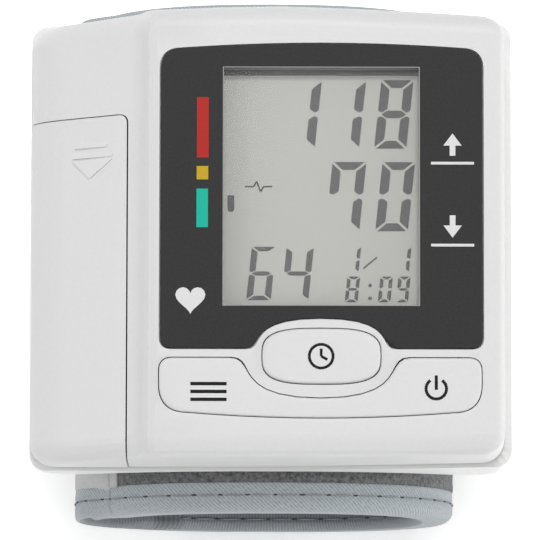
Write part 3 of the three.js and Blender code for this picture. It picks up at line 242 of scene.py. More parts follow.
SHELL_GRAIN = {"scale": 1800.0, "mottle": 0.012, "depth": 0.006, "specular": 0.35}
THREAD_GRAIN = {"scale": 6000.0, "mottle": 0.25, "depth": 0.05}
DISPLAY_GRAIN = {"scale": 1500.0, "mottle": 0.03, "depth": 0.0005, "specular": 0.1}
COLOUR_GRAIN = {"scale": 3000.0, "mottle": 0.03, "depth": 0.002, "specular": 0.1}

LOOKS = {
    "shell": grained("shell_plastic", srgb(226, 226, 226), 0.42, **SHELL_GRAIN),
    "panel": grained(
        "panel_plastic", srgb(47, 47, 47), 0.5, scale=3500.0, mottle=0.12, depth=0.006, specular=0.15,
    ),
    # Painted light: a lighter copy of the shell plastic, standing in for light falling on the rear housing's
    # right flank
    "lit_rear_shell": grained("rear_plastic_painted_light", srgb(240, 240, 239), 0.42, **SHELL_GRAIN),
    # Painted shade: near black for the panel's bevelled rim, standing in for the shaded gap round the panel
    "panel_gap_shade": grained(
        "panel_gap_painted_shade", srgb(24, 24, 24), 0.5, scale=3500.0, mottle=0.05, depth=0.003, specular=0.1,
    ),
    "lens": clear_plastic("lens_plastic"),
    "display": grained(
        "display_glass", srgb(189, 189, 183), 0.4, scale=900.0, mottle=0.01, depth=0.0005, specular=0.15,
    ),
    "inner_plastic": grained("white_plastic", srgb(236, 236, 233), 0.5),
    "grey_rubber": grained("grey_rubber", srgb(140, 140, 140), 0.75),
    "board": grained("solder_mask", srgb(40, 100, 66), 0.4, scale=1200.0, mottle=0.1),
    "black_plastic": grained("black_plastic", srgb(32, 33, 36), 0.5),
    "steel": grained("plated_steel", srgb(196, 198, 201), 0.3, metallic=1.0, scale=3000.0, mottle=0.04),
    "hose": grained("hose_silicone", srgb(215, 215, 213), 0.55),
    "cell": grained("cell_wrap", srgb(120, 124, 128), 0.35, metallic=0.6, mottle=0.04),
    "fleece": napped("fleece", srgb(58, 59, 61), srgb(150, 151, 152), 1500.0, 0.5),
    "bladder": grained("bladder_film", srgb(150, 160, 168), 0.55),
    "lining": woven(
        "lining_nylon", srgb(108, 116, 121), srgb(122, 130, 135), 0.35, 0.02, turn=0.0, sheen=0.1,
    ),
    "binding": woven("twill_tape", srgb(146, 153, 158), srgb(186, 193, 197), 0.45, 0.06),
    # The tape's leg inside the cuff: a straight, wider weave in a darker tone that is painted shade inside
    # the cuff
    "binding_shaded_inside": woven(
        "tape_inside_painted_shade", srgb(130, 136, 140), srgb(160, 166, 170), 0.6, 0.04, turn=0.0, sheen=0.1,
    ),
    "strap": woven(
        "coated_strap", srgb(186, 187, 187), srgb(212, 213, 212), 0.3, 0.02, turn=0.0, sheen=0.1,
    ),
    "hook": napped("hook_tape", srgb(50, 52, 55), srgb(110, 112, 116), 2500.0, 0.4),
}
INK = {
    "thread": grained("stitch_thread", srgb(146, 154, 160), 0.9, **THREAD_GRAIN),
    # Painted shade: a dark tone for marks at the stitch holes, where the thread dips into the tape
    "hole_shade": grained("stitch_hole_painted_shade", srgb(70, 76, 84), 0.9, **THREAD_GRAIN),
    "segment": grained("display_segment", srgb(72, 72, 71), 0.6, **DISPLAY_GRAIN),
    # Painted shadow: a dark grey for the strip along the top of the display window, where the panel's edge
    # shades the display
    "window_top_shadow": grained("window_top_painted_shadow", srgb(96, 96, 94), 0.6, **DISPLAY_GRAIN),
    # Painted highlight: a light grey for thin lines round the display window, standing in for its lit cut
    # edge
    "edge": grained("window_edge_highlight", srgb(150, 150, 150), 0.4, scale=3000.0, mottle=0.05, depth=0.002),
    "white": grained("white_print", srgb(226, 226, 226), 0.6, scale=3000.0, mottle=0.02, depth=0.002),
    "black": grained(
        "black_print", srgb(20, 20, 22), 0.6, scale=3000.0, mottle=0.05, depth=0.002, specular=0.15,
    ),
    "red": grained("red_print", srgb(184, 52, 47), 0.6, **COLOUR_GRAIN),
    "yellow": grained("yellow_print", srgb(202, 170, 46), 0.6, **COLOUR_GRAIN),
    "green": grained("green_print", srgb(36, 188, 163), 0.6, **COLOUR_GRAIN),
}


# Pieces carried over from the solids

for subpart in frame["record"]["subparts"]:
    node = frame["nodes"][subpart["node"]]
    node.data.materials.clear()
    node.data.materials.append(LOOKS[subpart["material_slot"]])


EDGE_ANGLE = math.radians(35.0)
WELD_REACH = 0.002
SHELL_EDGE = 0.12
FITTED_EDGE = 0.08


def soften_edges(name, width, segments=2, swell=0.0):
    """Round a piece's edges, and let it fill a little of the gap round it."""
    node = frame["nodes"][name]
    for polygon in node.data.polygons:
        polygon.use_smooth = True
    weld = node.modifiers.new("weld", "WELD")
    weld.merge_threshold = WELD_REACH * MM
    if swell:
        fuller = node.modifiers.new("fuller", "DISPLACE")
        fuller.strength = swell * MM
        fuller.mid_level = 0.0
    bevel = node.modifiers.new("soft_edges", "BEVEL")
    bevel.width = width * MM
    bevel.segments = segments
    bevel.limit_method = "ANGLE"
    bevel.angle_limit = EDGE_ANGLE
    bevel.use_clamp_overlap = True
    bevel.harden_normals = True
    normals = node.modifiers.new("even_normals", "WEIGHTED_NORMAL")
    normals.keep_sharp = True


for shell_piece in ("front_housing", "rear_housing"):
    soften_edges(shell_piece, SHELL_EDGE)
for closely_fitted in ("battery_cover", "setup_button", "memory_power_key"):
    soften_edges(closely_fitted, FITTED_EDGE, swell=SWELL)
soften_edges("display_panel", SHELL_EDGE, segments=1, swell=SWELL)
panel = frame["nodes"]["display_panel"]
# The panel's bevelled rim takes the near-black material: painted shade for the gap round the panel
panel.data.materials.append(LOOKS["panel_gap_shade"])
panel.modifiers["soft_edges"].material = len(panel.data.materials) - 1
# The rear housing takes the lighter copy of the shell plastic: painted light on its right flank
frame["nodes"]["rear_housing"].data.materials[0] = LOOKS["lit_rear_shell"]


# Rubber domes under the keys, copied from the solids and kept at their resting shape

for dome, joint in (
    ("setup_dome", "setup_press"), ("memory_dome", "rocker_tilt"), ("power_dome", "rocker_tilt"),
):
    solid = frame["nodes"][dome]
    rubber = bpy.data.objects.new(f"{dome}_rubber", solid.data.copy())
    bpy.context.scene.collection.objects.link(rubber)
    rubber.matrix_world = solid.matrix_world
    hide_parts(dome)
    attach(rubber, "case")
    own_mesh(rubber)


# Flat print and display marks, with a painted shadow and a painted highlight at the display window


def new_mesh(name, vertices, faces, material):
    """A linked object from vertices in millimetres."""
    mesh = bpy.data.meshes.new(name)
    mesh.from_pydata([[c * MM for c in v] for v in vertices], [], faces)
    mesh.update()
    mesh.materials.append(material)
    piece = bpy.data.objects.new(name, mesh)
    bpy.context.scene.collection.objects.link(piece)
    return piece


def plates(outlines, lower, upper):
    """Vertices and faces of closed outlines, each made into a plate between two surfaces."""
    vertices = []
    faces = []
    for outline in outlines:
        count = len(outline)
        base = len(vertices)
        vertices += [lower(*spot) for spot in outline]
        vertices += [upper(*spot) for spot in outline]
        faces.append([base + count + i for i in range(count)])
        faces.append([base + i for i in reversed(range(count))])
        for i in range(count):
            j = (i + 1) % count
            faces.append([base + i, base + j, base + count + j, base + count + i])
    return vertices, faces


def flat_marks(name, outlines, level, material, body):
    """Closed outlines in the XY plane, each made into a thin plate that stands on the level."""
    vertices, faces = plates(outlines, lambda x, y: (x, y, level), lambda x, y: (x, y, level + PRINT))
    piece = new_mesh(name, vertices, faces, material)
    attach(piece, body)


def rect(left, low, right, high):
    return [(left, low), (right, low), (right, high), (left, high)]


def stroke(points, width):
    """The quads of a line of the given width through the points."""
    quads = []
    for (xa, ya), (xb, yb) in zip(points, points[1:]):
        length = math.hypot(xb - xa, yb - ya)
        nx, ny = -(yb - ya) / length * width / 2, (xb - xa) / length * width / 2
        quads.append([(xa - nx, ya - ny), (xb - nx, yb - ny), (xb + nx, yb + ny), (xa + nx, ya + ny)])
    return quads


DISC_SIDES = 20
ARC_STEPS = 24


def disc(x, y, radius):
    turn = 2 * math.pi / DISC_SIDES
    return [(x + radius * math.cos(i * turn), y + radius * math.sin(i * turn)) for i in range(DISC_SIDES)]


def arc(x, y, radius, start, end):
    """Points of an arc between two angles in degrees."""
    points = []
    for i in range(ARC_STEPS + 1):
        angle = math.radians(start + (end - start) * i / ARC_STEPS)
        points.append((x + radius * math.cos(angle), y + radius * math.sin(angle)))
    return points


# Bars of each numeral, by the letters usual for seven-bar displays
SEGMENTS = {
    "0": "abcdef", "1": "bc", "2": "abged", "3": "abgcd", "4": "fgbc",
    "5": "afgcd", "6": "afgedc", "7": "abcf", "8": "abcdefg", "9": "abcdfg",
}


SLANT = 0.105
GAP_SHARE = 0.18
LEAST_GAP = 0.14
WAIST_SHARE = 0.48
TIP_SHARE = 0.4


def digit(value, x, y, width, height, bar, level):
    """A slanted seven-bar numeral with its foot's left end at x, y.

    bar and level are the thickness of its upright and its level bars."""
    gap = max(bar * GAP_SHARE, LEAST_GAP)
    waist = level * WAIST_SHARE
    tip = bar * TIP_SHARE
    middle = height / 2

    def turned(points, mirror_x, mirror_y):
        shape = [(width - px if mirror_x else px, height - py if mirror_y else py) for px, py in points]
        return shape[::-1] if mirror_x != mirror_y else shape

    cross = [(gap, 0), (width - gap, 0), (width - bar - gap, level), (bar + gap, level)]
    side = [
        (0, gap), (bar, level + gap), (bar, middle - waist - gap), (tip, middle - gap), (0, middle - waist),
    ]
    waist_bar = [
        (tip, middle), (bar, middle - waist), (width - bar, middle - waist),
        (width - tip, middle), (width - bar, middle + waist), (bar, middle + waist),
    ]
    shapes = {
        "a": turned(cross, False, True), "d": cross, "g": waist_bar, "e": side,
        "c": turned(side, True, False), "f": turned(side, False, True), "b": turned(side, True, True),
    }
    return [[(x + px + py * SLANT, y + py) for px, py in shapes[name]] for name in SEGMENTS[value]]


# Each numeral with its place, width, height and the thickness of its upright and level bars
display = []
for value, x, y, width, height, bar, level in (
    ("1", 1.9, 13.85, 4.65, 10.2, 1.36, 1.18), ("1", 8.42, 13.85, 4.65, 10.2, 1.36, 1.18),
    ("8", 15.29, 13.85, 4.75, 10.2, 1.36, 1.18),
    ("7", 8.1, 1.62, 5.0, 10.25, 1.36, 1.18), ("0", 15.45, 1.62, 4.8, 10.25, 1.36, 1.18),
    ("6", -3.5, -8.6, 3.6, 7.9, 0.94, 0.66), ("4", 1.63, -8.6, 4.0, 7.9, 0.94, 0.66),
    ("1", 11.2, -4.48, 1.8, 3.85, 0.54, 0.42), ("1", 18.6, -4.48, 1.8, 3.85, 0.54, 0.42),
    ("8", 10.96, -8.87, 1.9, 3.8, 0.54, 0.42), ("0", 15.81, -8.87, 1.85, 3.8, 0.54, 0.42),
    ("9", 18.46, -8.87, 1.8, 3.8, 0.54, 0.42),
):
    display += digit(value, x, y, width, height, bar, level)
display += stroke([(13.7, -3.9), (15.7, -2.25)], 0.26)
display += [disc(14.7, -6.4, 0.28), disc(14.7, -8.3, 0.28)]
bullet = [(-6.27, 6.9), (-6.27, 5.0)] + arc(-5.77, 4.95, 0.5, 180, 360) + [(-5.27, 5.0), (-5.27, 6.9)]
display.append(bullet)
display += stroke([(-3.7, 8.2), (-2.4, 8.2), (-2.0, 9.0), (-1.4, 7.4), (-1.0, 8.2), (0.3, 8.2)], 0.24)
flat_marks("display_marks", display, LCD_TOP + PRINT, INK["segment"], "case")

left, low, right, high = WINDOW
# A dark strip along the top of the display window: painted shadow of the panel's top edge
flat_marks("window_top_painted_shadow", [rect(left, high - TOP_SHADOW_HEIGHT, right, high)], LCD_TOP + PRINT, INK["window_top_shadow"], "case")
# Thin light lines round the window on the panel's face: painted highlight of the window's cut edge
window_edge_highlight = [
    rect(left - EDGE_HIGHLIGHT, low - EDGE_HIGHLIGHT, left, high + EDGE_HIGHLIGHT),
    rect(right, low - EDGE_HIGHLIGHT, right + EDGE_HIGHLIGHT, high + EDGE_HIGHLIGHT),
    rect(left, low - EDGE_HIGHLIGHT, right, low), rect(left, high, right, high + EDGE_HIGHLIGHT),
]
flat_marks("window_edge_highlight", window_edge_highlight, PANEL_TOP, INK["edge"], "case")

flat_marks("scale_red", [rect(-10.76, 12.17, -9.03, 21.12)], PANEL_TOP, INK["red"], "case")
flat_marks("scale_yellow", [rect(-10.78, 8.94, -9.08, 10.92)], PANEL_TOP, INK["yellow"], "case")
flat_marks("scale_green", [rect(-10.8, 1.89, -9.11, 7.57)], PANEL_TOP, INK["green"], "case")


HEART_POINTS = 28
HEART_SPAN = 32


def heart(x, y, size):
    """A plain heart outline as a closed polygon: the usual curve, which is 32 units wide."""
    points = []
    for i in range(HEART_POINTS):
        t = 2 * math.pi * i / HEART_POINTS
        hx = 16 * math.sin(t) ** 3
        hy = 13 * math.cos(t) - 5 * math.cos(2 * t) - 2 * math.cos(3 * t) - math.cos(4 * t)
        points.append((x - hx * size / HEART_SPAN, y + hy * size / HEART_SPAN))
    return points


ARROW_SIZE = 3.0


def arrow(x, y, up):
    """An arrow with its head's foot at x, y."""
    way = 1 if up else -1
    head_half, head_length = ARROW_SIZE * 0.45, ARROW_SIZE * 0.6
    stem_half, stem_end = ARROW_SIZE * 0.14, y - way * ARROW_SIZE * 0.5
    head = [(x - head_half, y), (x + head_half, y), (x, y + way * head_length)]
    if not up:
        head.reverse()
    return [head, rect(x - stem_half, min(y, stem_end), x + stem_half, max(y, stem_end))]


panel_marks = arrow(26.75, 14.0, True)
panel_marks += [rect(23.6, 11.2, 29.9, 11.6)]
panel_marks += arrow(26.75, 2.2, False)
panel_marks += [rect(23.6, -0.9, 29.9, -0.5)]
panel_marks += [heart(-11.65, -8.6, 4.4)]
flat_marks("panel_print", panel_marks, PANEL_TOP, INK["white"], "case")

LIST_TOP = -20.9
LIST_PITCH = 1.15
LIST_BAR = 0.5
memory_marks = []
for row in range(3):
    top = LIST_TOP - LIST_PITCH * row
    memory_marks.append(rect(-11.6, top - LIST_BAR, -6.3, top))
power_marks = stroke(arc(24.3, -21.85, 1.5, 125, 415), 0.45) + [rect(24.08, -22.0, 24.53, -19.9)]
flat_marks("list_symbol", memory_marks, KEY_TOP, INK["black"], "rocker")
flat_marks("power_symbol", power_marks, KEY_TOP, INK["black"], "rocker")
clock_hands = [(7.5, -16.0), (7.5, -17.1), (8.4, -17.6)]
clock_marks = stroke(arc(7.5, -17.1, 1.75, 0, 360), 0.42) + stroke(clock_hands, 0.4)
flat_marks("clock_symbol", clock_marks, KEY_TOP, INK["black"], "setup_key")


def on_wing(along, y, lift):
    """A point on the sloping wing: along it from its foot, and lifted off its surface."""
    direction = (WING_EDGE - WING_FOOT).normalized()
    normal = Vector((-direction.z, 0, direction.x)) * -1
    place = WING_FOOT + direction * along + normal * lift
    return (place.x, y, place.z)


MARK_SINK = -0.3
MARK_LIFT = 0.16
MARK_SLOPE = 0.03


def wing_marks(name, outlines):
    """Raised marks on the cover, which bulges a little off the wing's straight slope."""
    vertices, faces = plates(
        outlines,
        lambda along, y: on_wing(along, y, MARK_SINK),
        lambda along, y: on_wing(along, y, MARK_LIFT + MARK_SLOPE * along),
    )
    piece = new_mesh(name, vertices, faces, LOOKS["shell"])
    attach(piece, "cover")


wing_marks("cover_arrow", [
    rect(4.6, 14.8, 10.4, 15.2),
    rect(3.6, 13.3, 10.8, 13.7),
    [(3.6, 12.9), (7.75, 10.2), (10.8, 12.9)],
])


# Cloth of the cuff


def smoothstep(value, low, high):
    """A smooth share that is 0 up to the low value and 1 from the high one."""
    share = min(max((value - low) / (high - low), 0.0), 1.0)
    return share * share * (3 - 2 * share)


def cuff_point(angle, offset):
    """A place on the cuff's loop, which is flat where it rests, moved outwards by an offset."""
    c, s = math.cos(math.radians(angle)), math.sin(math.radians(angle))
    half_height = (CUFF_HEIGHT + REST_FLAT) / 2
    centre = CUFF_HEIGHT - half_height
    x = (CUFF_HALF_WIDTH + offset) * math.copysign(abs(c) ** CUFF_POWER, c)
    z = centre + (half_height + offset) * math.copysign(abs(s) ** CUFF_POWER, s)
    return x, max(z, -offset, 0)


def lining_outer(angle):
    """The lining's outer side, which comes up to the fleece at both ends of the cuff."""
    signed = angle - 360
    low = smoothstep(-signed, *THIN_LOW)
    high = smoothstep(signed, *THIN_HIGH)
    return LINING_OUTER + (LINING_THIN - LINING_OUTER) * max(low, high)


def lining_inner(angle):
    return lining_outer(angle) - LINING_THICKNESS


def tip_share(angle):
    """How far the strap has thinned out towards its tip."""
    return 1 - smoothstep(angle, STRAP_END + TIP_FLAT, STRAP_END + TIP_RUN)


def strap_outer(angle):
    rise = STRAP_RISE + (TIP_RISE - STRAP_RISE) * tip_share(angle)
    return rise * smoothstep(RISE_START - angle, 0, RISE_RUN)


def strap_inner(angle):
    return strap_outer(angle) - STRAP_THICKNESS - (TIP_THICKNESS - STRAP_THICKNESS) * tip_share(angle)


def fold_inner(angle):
    """Inner face across the fold, from the cuff's thin end to the strap."""
    share = smoothstep(angle, FOLD_START, FOLD_END)
    return strap_inner(angle) * (1 - share) + lining_inner(max(angle, FOLD_END)) * share


def sweep(name, angles, profile, materials, parts=None):
    """A band round the cuff: profile(angle) gives (y, offset) points of a closed section.

    parts gives the material of each strip along the band, and both ends are closed."""
    rings = [profile(angle) for angle in angles]
    count = len(rings[0])
    vertices = []
    runs = [0.0]
    spots = []
    for angle, ring in zip(angles, rings):
        x, z = cuff_point(angle, 0)
        if spots:
            runs.append(runs[-1] + math.dist(spots[-1], (x, z)))
        spots.append((x, z))
        for y, offset in ring:
            px, pz = cuff_point(angle, offset)
            vertices.append((px, y, pz))
    lengths = [0.0]
    for (ya, oa), (yb, ob) in zip(rings[0], rings[0][1:] + rings[0][:1]):
        lengths.append(lengths[-1] + math.hypot(yb - ya, ob - oa))
    faces, uvs, slots = [], [], []
    for i in range(len(angles) - 1):
        for j in range(count):
            k = (j + 1) % count
            a, b = i * count + j, i * count + k
            faces.append((a, b, b + count, a + count))
            uvs += [(runs[i], lengths[j]), (runs[i], lengths[j + 1])]
            uvs += [(runs[i + 1], lengths[j + 1]), (runs[i + 1], lengths[j])]
            slots.append(parts[j] if parts else 0)
    first = list(range(count))
    last = [(len(angles) - 1) * count + j for j in range(count)]
    for cap in (first[::-1], last):
        faces.append(cap)
        uvs += [(vertices[v][2], vertices[v][1]) for v in cap]
        slots.append(0)
    piece = new_mesh(name, vertices, faces, materials[0])
    for extra in materials[1:]:
        piece.data.materials.append(extra)
    layer = piece.data.uv_layers.new(name="cloth")
    for loop, uv in zip(layer.data, uvs):
        loop.uv = uv
    for polygon, part in zip(piece.data.polygons, slots):
        polygon.material_index = part
        polygon.use_smooth = len(polygon.vertices) == 4
    piece.data.update()
    return piece


def spread(start, end, step):
    """Even steps from start to end, each about as long as step."""
    count = max(int(round(abs(end - start) / step)), 1)
    return [start + (end - start) * i / count for i in range(count + 1)]


def ripple(angle, y, size, depth):
    """Unevenness of the cloth: waves of about the size, in both directions by about half the depth."""
    x, z = cuff_point(angle, 0)
    return depth * noise.noise(Vector((x / size, y / size, z / size)))


def band_section(outer, inner, half, across):
    """A flat band's closed section: the outer face from -y to +y, then back along the inner face."""
    ys = spread(-half, half, across)
    return [(y, outer(y)) for y in ys] + [(y, inner(y)) for y in reversed(ys)]


LAYER_HALF = CUFF_HALF_LENGTH - 1.0
TAPE_EDGE = CUFF_HALF_LENGTH - TAPE_WIDTH


def under_tape(y, drop):
    """How far a layer is pressed down where the tape covers it."""
    return -drop * smoothstep(abs(y), TAPE_EDGE - 0.3, TAPE_EDGE + 0.9)


def fleece_section(angle):
    def outer(y):
        return ripple(angle, y, 0.9, 0.16) + ripple(angle, y, 6.0, 0.12) - 0.08 + under_tape(y, 0.9)
    return band_section(outer, lambda y: -FLEECE_THICKNESS, LAYER_HALF, 0.6)


def lining_section(angle):
    def inner(y):
        return lining_inner(angle) + ripple(angle, y, 9.0, 0.35) - under_tape(y, 0.4)
    return band_section(lambda y: lining_outer(angle), inner, LAYER_HALF, 1.0)


# Steps along each leg of the tape, and round each half of its bend
TAPE_LEG = 10
TAPE_BEND = 6


def tape_faces(side):
    """Material of each strip round the tape: 0 on the outer face, 1 on the leg inside the cuff, which is
    darker as painted shade.
    """
    core_strips = 5
    strips = [0] * (TAPE_LEG + 1 + TAPE_BEND) + [1] * (TAPE_BEND + TAPE_LEG + core_strips)
    return strips if side > 0 else strips[-2::-1] + strips[-1:]


def tape_section(side, outer, inner, hug):
    """Tape folded round a rim: a closed U with rounded corners, which hugs the rim under it by a share."""
    radius = min(RIM_RADIUS, (outer - inner) / 2 - 0.05)
    bend = CUFF_HALF_LENGTH - radius
    fullness = max(min(outer - inner, 1.0), hug)

    def droop(y):
        over = max(y - CUFF_HALF_LENGTH + RIM_RADIUS, 0)
        return hug * (RIM_RADIUS - math.sqrt(max(RIM_RADIUS ** 2 - over ** 2, 0)))

    def seam(y, from_rim):
        return -SEAM_DEPTH * fullness * math.exp(-(((y - CUFF_HALF_LENGTH + from_rim) / SEAM_REACH) ** 2))

    def bulge(y):
        return TAPE_BULGE * fullness * math.sin(math.pi * min(max((y - TAPE_EDGE) / TAPE_WIDTH, 0), 1))

    leg = [TAPE_EDGE + (bend - TAPE_EDGE) * i / TAPE_LEG for i in range(TAPE_LEG + 1)]
    skin = [(y, outer + seam(y, STITCH_FROM_RIM) + bulge(y)) for y in leg]
    for i in range(1, TAPE_BEND + 1):
        turn = math.pi / 2 * i / TAPE_BEND
        swell = bulge(bend) * (1 - i / TAPE_BEND)
        skin.append((bend + radius * math.sin(turn), outer - radius + radius * math.cos(turn) + swell))
    for i in range(TAPE_BEND + 1):
        turn = math.pi / 2 * i / TAPE_BEND
        swell = bulge(bend) * i / TAPE_BEND
        skin.append((bend + radius * math.cos(turn), inner + radius - radius * math.sin(turn) - swell))
    skin += [(y, inner - seam(y, INNER_STITCH_FROM_RIM) - bulge(y)) for y in leg[-2::-1]]
    wall = min(TAPE_THICKNESS, (outer - inner) * 0.4)
    core_far = CUFF_HALF_LENGTH - TAPE_THICKNESS - 0.6
    core = [
        (TAPE_EDGE, inner + wall), (core_far, inner + wall),
        (core_far, outer - wall), (TAPE_EDGE, outer - wall),
    ]
    section = [(y, offset - droop(y)) for y, offset in skin + core]
    if side < 0:
        section = [(-y, offset) for y, offset in reversed(section)]
    return section


THREAD_SIDES = 6
THREAD_STEPS = 6
THREAD_END = 0.35
LEAST_SPOTS = 4


def stitch_row(name, start, end, y, offset_at, length, radius, shift, material):
    """Short raised pieces along the tape, one to each stitch: pieces of thread, or dark marks of painted
    shade at the stitch holes.
    """
    spots = [cuff_point(angle, offset_at(angle)) for angle in spread(start, end, 0.25)]
    run = shift
    marks = []
    current = []
    for i, spot in enumerate(spots):
        if i:
            run += math.dist(spots[i - 1], spot)
        if (run + length / 2) % STITCH_PITCH < length:
            current.append(i)
        elif current:
            marks.append(current)
            current = []
    vertices, faces = [], []
    sides = THREAD_SIDES
    for mark in marks:
        if len(mark) < LEAST_SPOTS:
            continue
        picks = [mark[round(k * (len(mark) - 1) / THREAD_STEPS)] for k in range(THREAD_STEPS + 1)]
        base = len(vertices)
        for k, i in enumerate(picks):
            along = (k + THREAD_END) / (THREAD_STEPS + 2 * THREAD_END)
            thickness = radius * math.sqrt(math.sin(math.pi * along))
            x, z = spots[i]
            ahead = spots[min(i + 1, len(spots) - 1)]
            back = spots[max(i - 1, 0)]
            tx, tz = ahead[0] - back[0], ahead[1] - back[1]
            step = math.hypot(tx, tz)
            nx, nz = tz / step, -tx / step
            for s in range(sides):
                turn = 2 * math.pi * s / sides
                lift = thickness * math.cos(turn)
                vertices.append((x + nx * lift, y + thickness * math.sin(turn), max(z + nz * lift, 0)))
        for k in range(THREAD_STEPS):
            for s in range(sides):
                t = (s + 1) % sides
                a, b = base + k * sides + s, base + k * sides + t
                faces.append((a, b, b + sides, a + sides))
        faces.append([base + s for s in reversed(range(sides))])
        faces.append([base + THREAD_STEPS * sides + s for s in range(sides)])
    piece = new_mesh(name, vertices, faces, material)
    for polygon in piece.data.polygons:
        polygon.use_smooth = True
    return piece


cuff_angles = spread(CUFF_START, CUFF_END, 1.5)
fold_angles = spread(STRAP_START, CUFF_START, 1.0)
strap_angles = spread(STRAP_END, STRAP_START, 1.5)


def tape_outer(angle):
    sink = TAPE_SINK + (TIP_SINK - TAPE_SINK) * tip_share(angle)
    return strap_outer(angle) - sink if angle < TAPE_LEVEL_FROM else -TAPE_SINK


def tape_on_lining(angle):
    return lining_outer(angle) - LINING_THICKNESS / 2 - LINING_SLACK - TAPE_THICKNESS


def tape_inner(angle):
    """The tape's inner side: on the cuff, on the strap, and from one to the other across the fold."""
    if angle >= CUFF_START:
        return tape_on_lining(angle)
    if angle <= STRAP_START:
        return strap_inner(angle) - TAPE_SINK
    share = smoothstep(angle, STRAP_START, FOLD_END)
    cuff_side = tape_on_lining(max(angle, FOLD_END))
    return (strap_inner(angle) - TAPE_SINK) * (1 - share) + cuff_side * share


def stitch_outer(angle):
    return tape_outer(angle) - SEAM_DEPTH + STITCH_LIFT


def stitch_inner(angle):
    return tape_inner(angle) + SEAM_DEPTH - STITCH_LIFT


fleece = sweep("fleece_cloth", cuff_angles, fleece_section, [LOOKS["fleece"]])
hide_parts("cuff_fleece")
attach(fleece, "case")

lining = sweep("lining_cloth", cuff_angles, lining_section, [LOOKS["lining"]])
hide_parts("cuff_lining")
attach(lining, "case")


PRESSED_OUTSIDE = 0.65
PRESSED_INSIDE = 0.2


def bound_section(angle, top, bottom):
    """A band whose edges are pressed thin where its tapes hold them."""
    thickness = top - bottom

    def outer(y):
        return top + ripple(angle, y, 8.0, 0.1) + under_tape(y, thickness * PRESSED_OUTSIDE)

    def inner(y):
        return bottom - under_tape(y, thickness * PRESSED_INSIDE)
    return band_section(outer, inner, LAYER_HALF, 1.0)


def strap_section(angle):
    return bound_section(angle, strap_outer(angle), strap_inner(angle))


def fold_section(angle):
    return bound_section(angle, strap_outer(angle) if angle < RISE_START else 0, fold_inner(angle))


def inner_faces(section, angle):
    """Material of each strip round a band: 0 on the outer face, 1 on the inner face and the edges."""
    count = len(section(angle)) // 2
    return [0] * (count - 1) + [1] * (count + 1)


strap_looks = [LOOKS["strap"], LOOKS["lining"]]
strap_faces = inner_faces(strap_section, STRAP_START)
strap = sweep("strap_cloth", strap_angles, strap_section, strap_looks, strap_faces)
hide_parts("closing_strap")
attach(strap, "strap")


def across_fold(piece):
    """Bake a piece's placement into its mesh, which leaves it on neither body."""
    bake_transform(piece)


fold_faces = inner_faces(fold_section, STRAP_START)
fold = sweep("fold_cloth", fold_angles, fold_section, strap_looks, fold_faces)
across_fold(fold)

tape_looks = [LOOKS["binding"], LOOKS["binding_shaded_inside"]]
for side, label in ((-1, "lower"), (1, "upper")):
    def section_at(angle, side=side):
        return tape_section(side, tape_outer(angle), tape_inner(angle), tip_share(angle))

    cuff_tape = sweep(f"{label}_tape", cuff_angles, section_at, tape_looks, tape_faces(side))
    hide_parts(f"{label}_binding")
    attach(cuff_tape, "case")
    strap_tape = sweep(f"strap_{label}_tape", strap_angles, section_at, tape_looks, tape_faces(side))
    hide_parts(f"strap_{label}_binding")
    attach(strap_tape, "strap")
    fold_tape = sweep(f"fold_{label}_tape", fold_angles, section_at, tape_looks, tape_faces(side))
    across_fold(fold_tape)
    for face, offset_at, from_rim in (
        ("outer", stitch_outer, STITCH_FROM_RIM),
        ("inner", stitch_inner, INNER_STITCH_FROM_RIM),
    ):
        # Thread pieces, then dark marks halfway between them: painted shade at the stitch holes
        for kind, length, radius, shift in (
            ("thread", STITCH_LENGTH, STITCH_RADIUS, 0),
            ("hole_shade", HOLE_SHADE_LENGTH, HOLE_SHADE_RADIUS, STITCH_PITCH / 2),
        ):
            row_name = f"{label}_{face}_{kind}"
            y = side * (CUFF_HALF_LENGTH - from_rim)
            row = stitch_row(row_name, CUFF_START, CUFF_END, y, offset_at, length, radius, shift, INK[kind])
            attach(row, "case")
            row_name = f"strap_{row_name}"
            row = stitch_row(row_name, STRAP_END, STRAP_START, y, offset_at, length, radius, shift, INK[kind])
            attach(row, "strap")


HOOK_ANGLES = (156, 169)
HOOK_HALF = 30.0


def hook_section(angle):
    def inner(y):
        return HOOK_INNER + ripple(angle, y, 0.5, 0.06)
    return band_section(lambda y: strap_inner(angle), inner, HOOK_HALF, 1.0)


hook = sweep("hook_tape", spread(*HOOK_ANGLES, 1.0), hook_section, [LOOKS["hook"]])
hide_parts("hook_patch")
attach(hook, "strap")


PATCH_ANGLES = (141.5, 147)
PATCH_TOP = 0.16
PATCH_BOTTOM = -0.3
PATCH_HALF = TAPE_EDGE + 0.2


def patch_section(angle):
    """A smooth patch on the cuff that carries on the strap's face beyond its tip, the same all along."""
    def outer(y):
        return PATCH_TOP + under_tape(y, 0.2)
    return band_section(outer, lambda y: PATCH_BOTTOM, PATCH_HALF, 1.5)


patch = sweep("smooth_patch", spread(*PATCH_ANGLES, 0.5), patch_section, [LOOKS["strap"]])
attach(patch, "case")


BLADDER_ANGLES = (245, 465)
BLADDER_MIDDLE = 355
BLADDER_OUTER = -3.05
BLADDER_INNER = -4.55
BLADDER_HALF = 30.0
BLADDER_TAPER = 0.55


def bladder_section(angle):
    """A flat bag that thins out towards its edges and ends."""
    to_end = smoothstep(abs(angle - BLADDER_MIDDLE), 100, 110)

    def thinning(y):
        return BLADDER_TAPER * smoothstep(abs(y), BLADDER_HALF - 6, BLADDER_HALF) + BLADDER_TAPER * to_end

    def outer(y):
        return BLADDER_OUTER - thinning(y)

    def inner(y):
        return BLADDER_INNER + thinning(y)
    return band_section(outer, inner, BLADDER_HALF, 1.5)


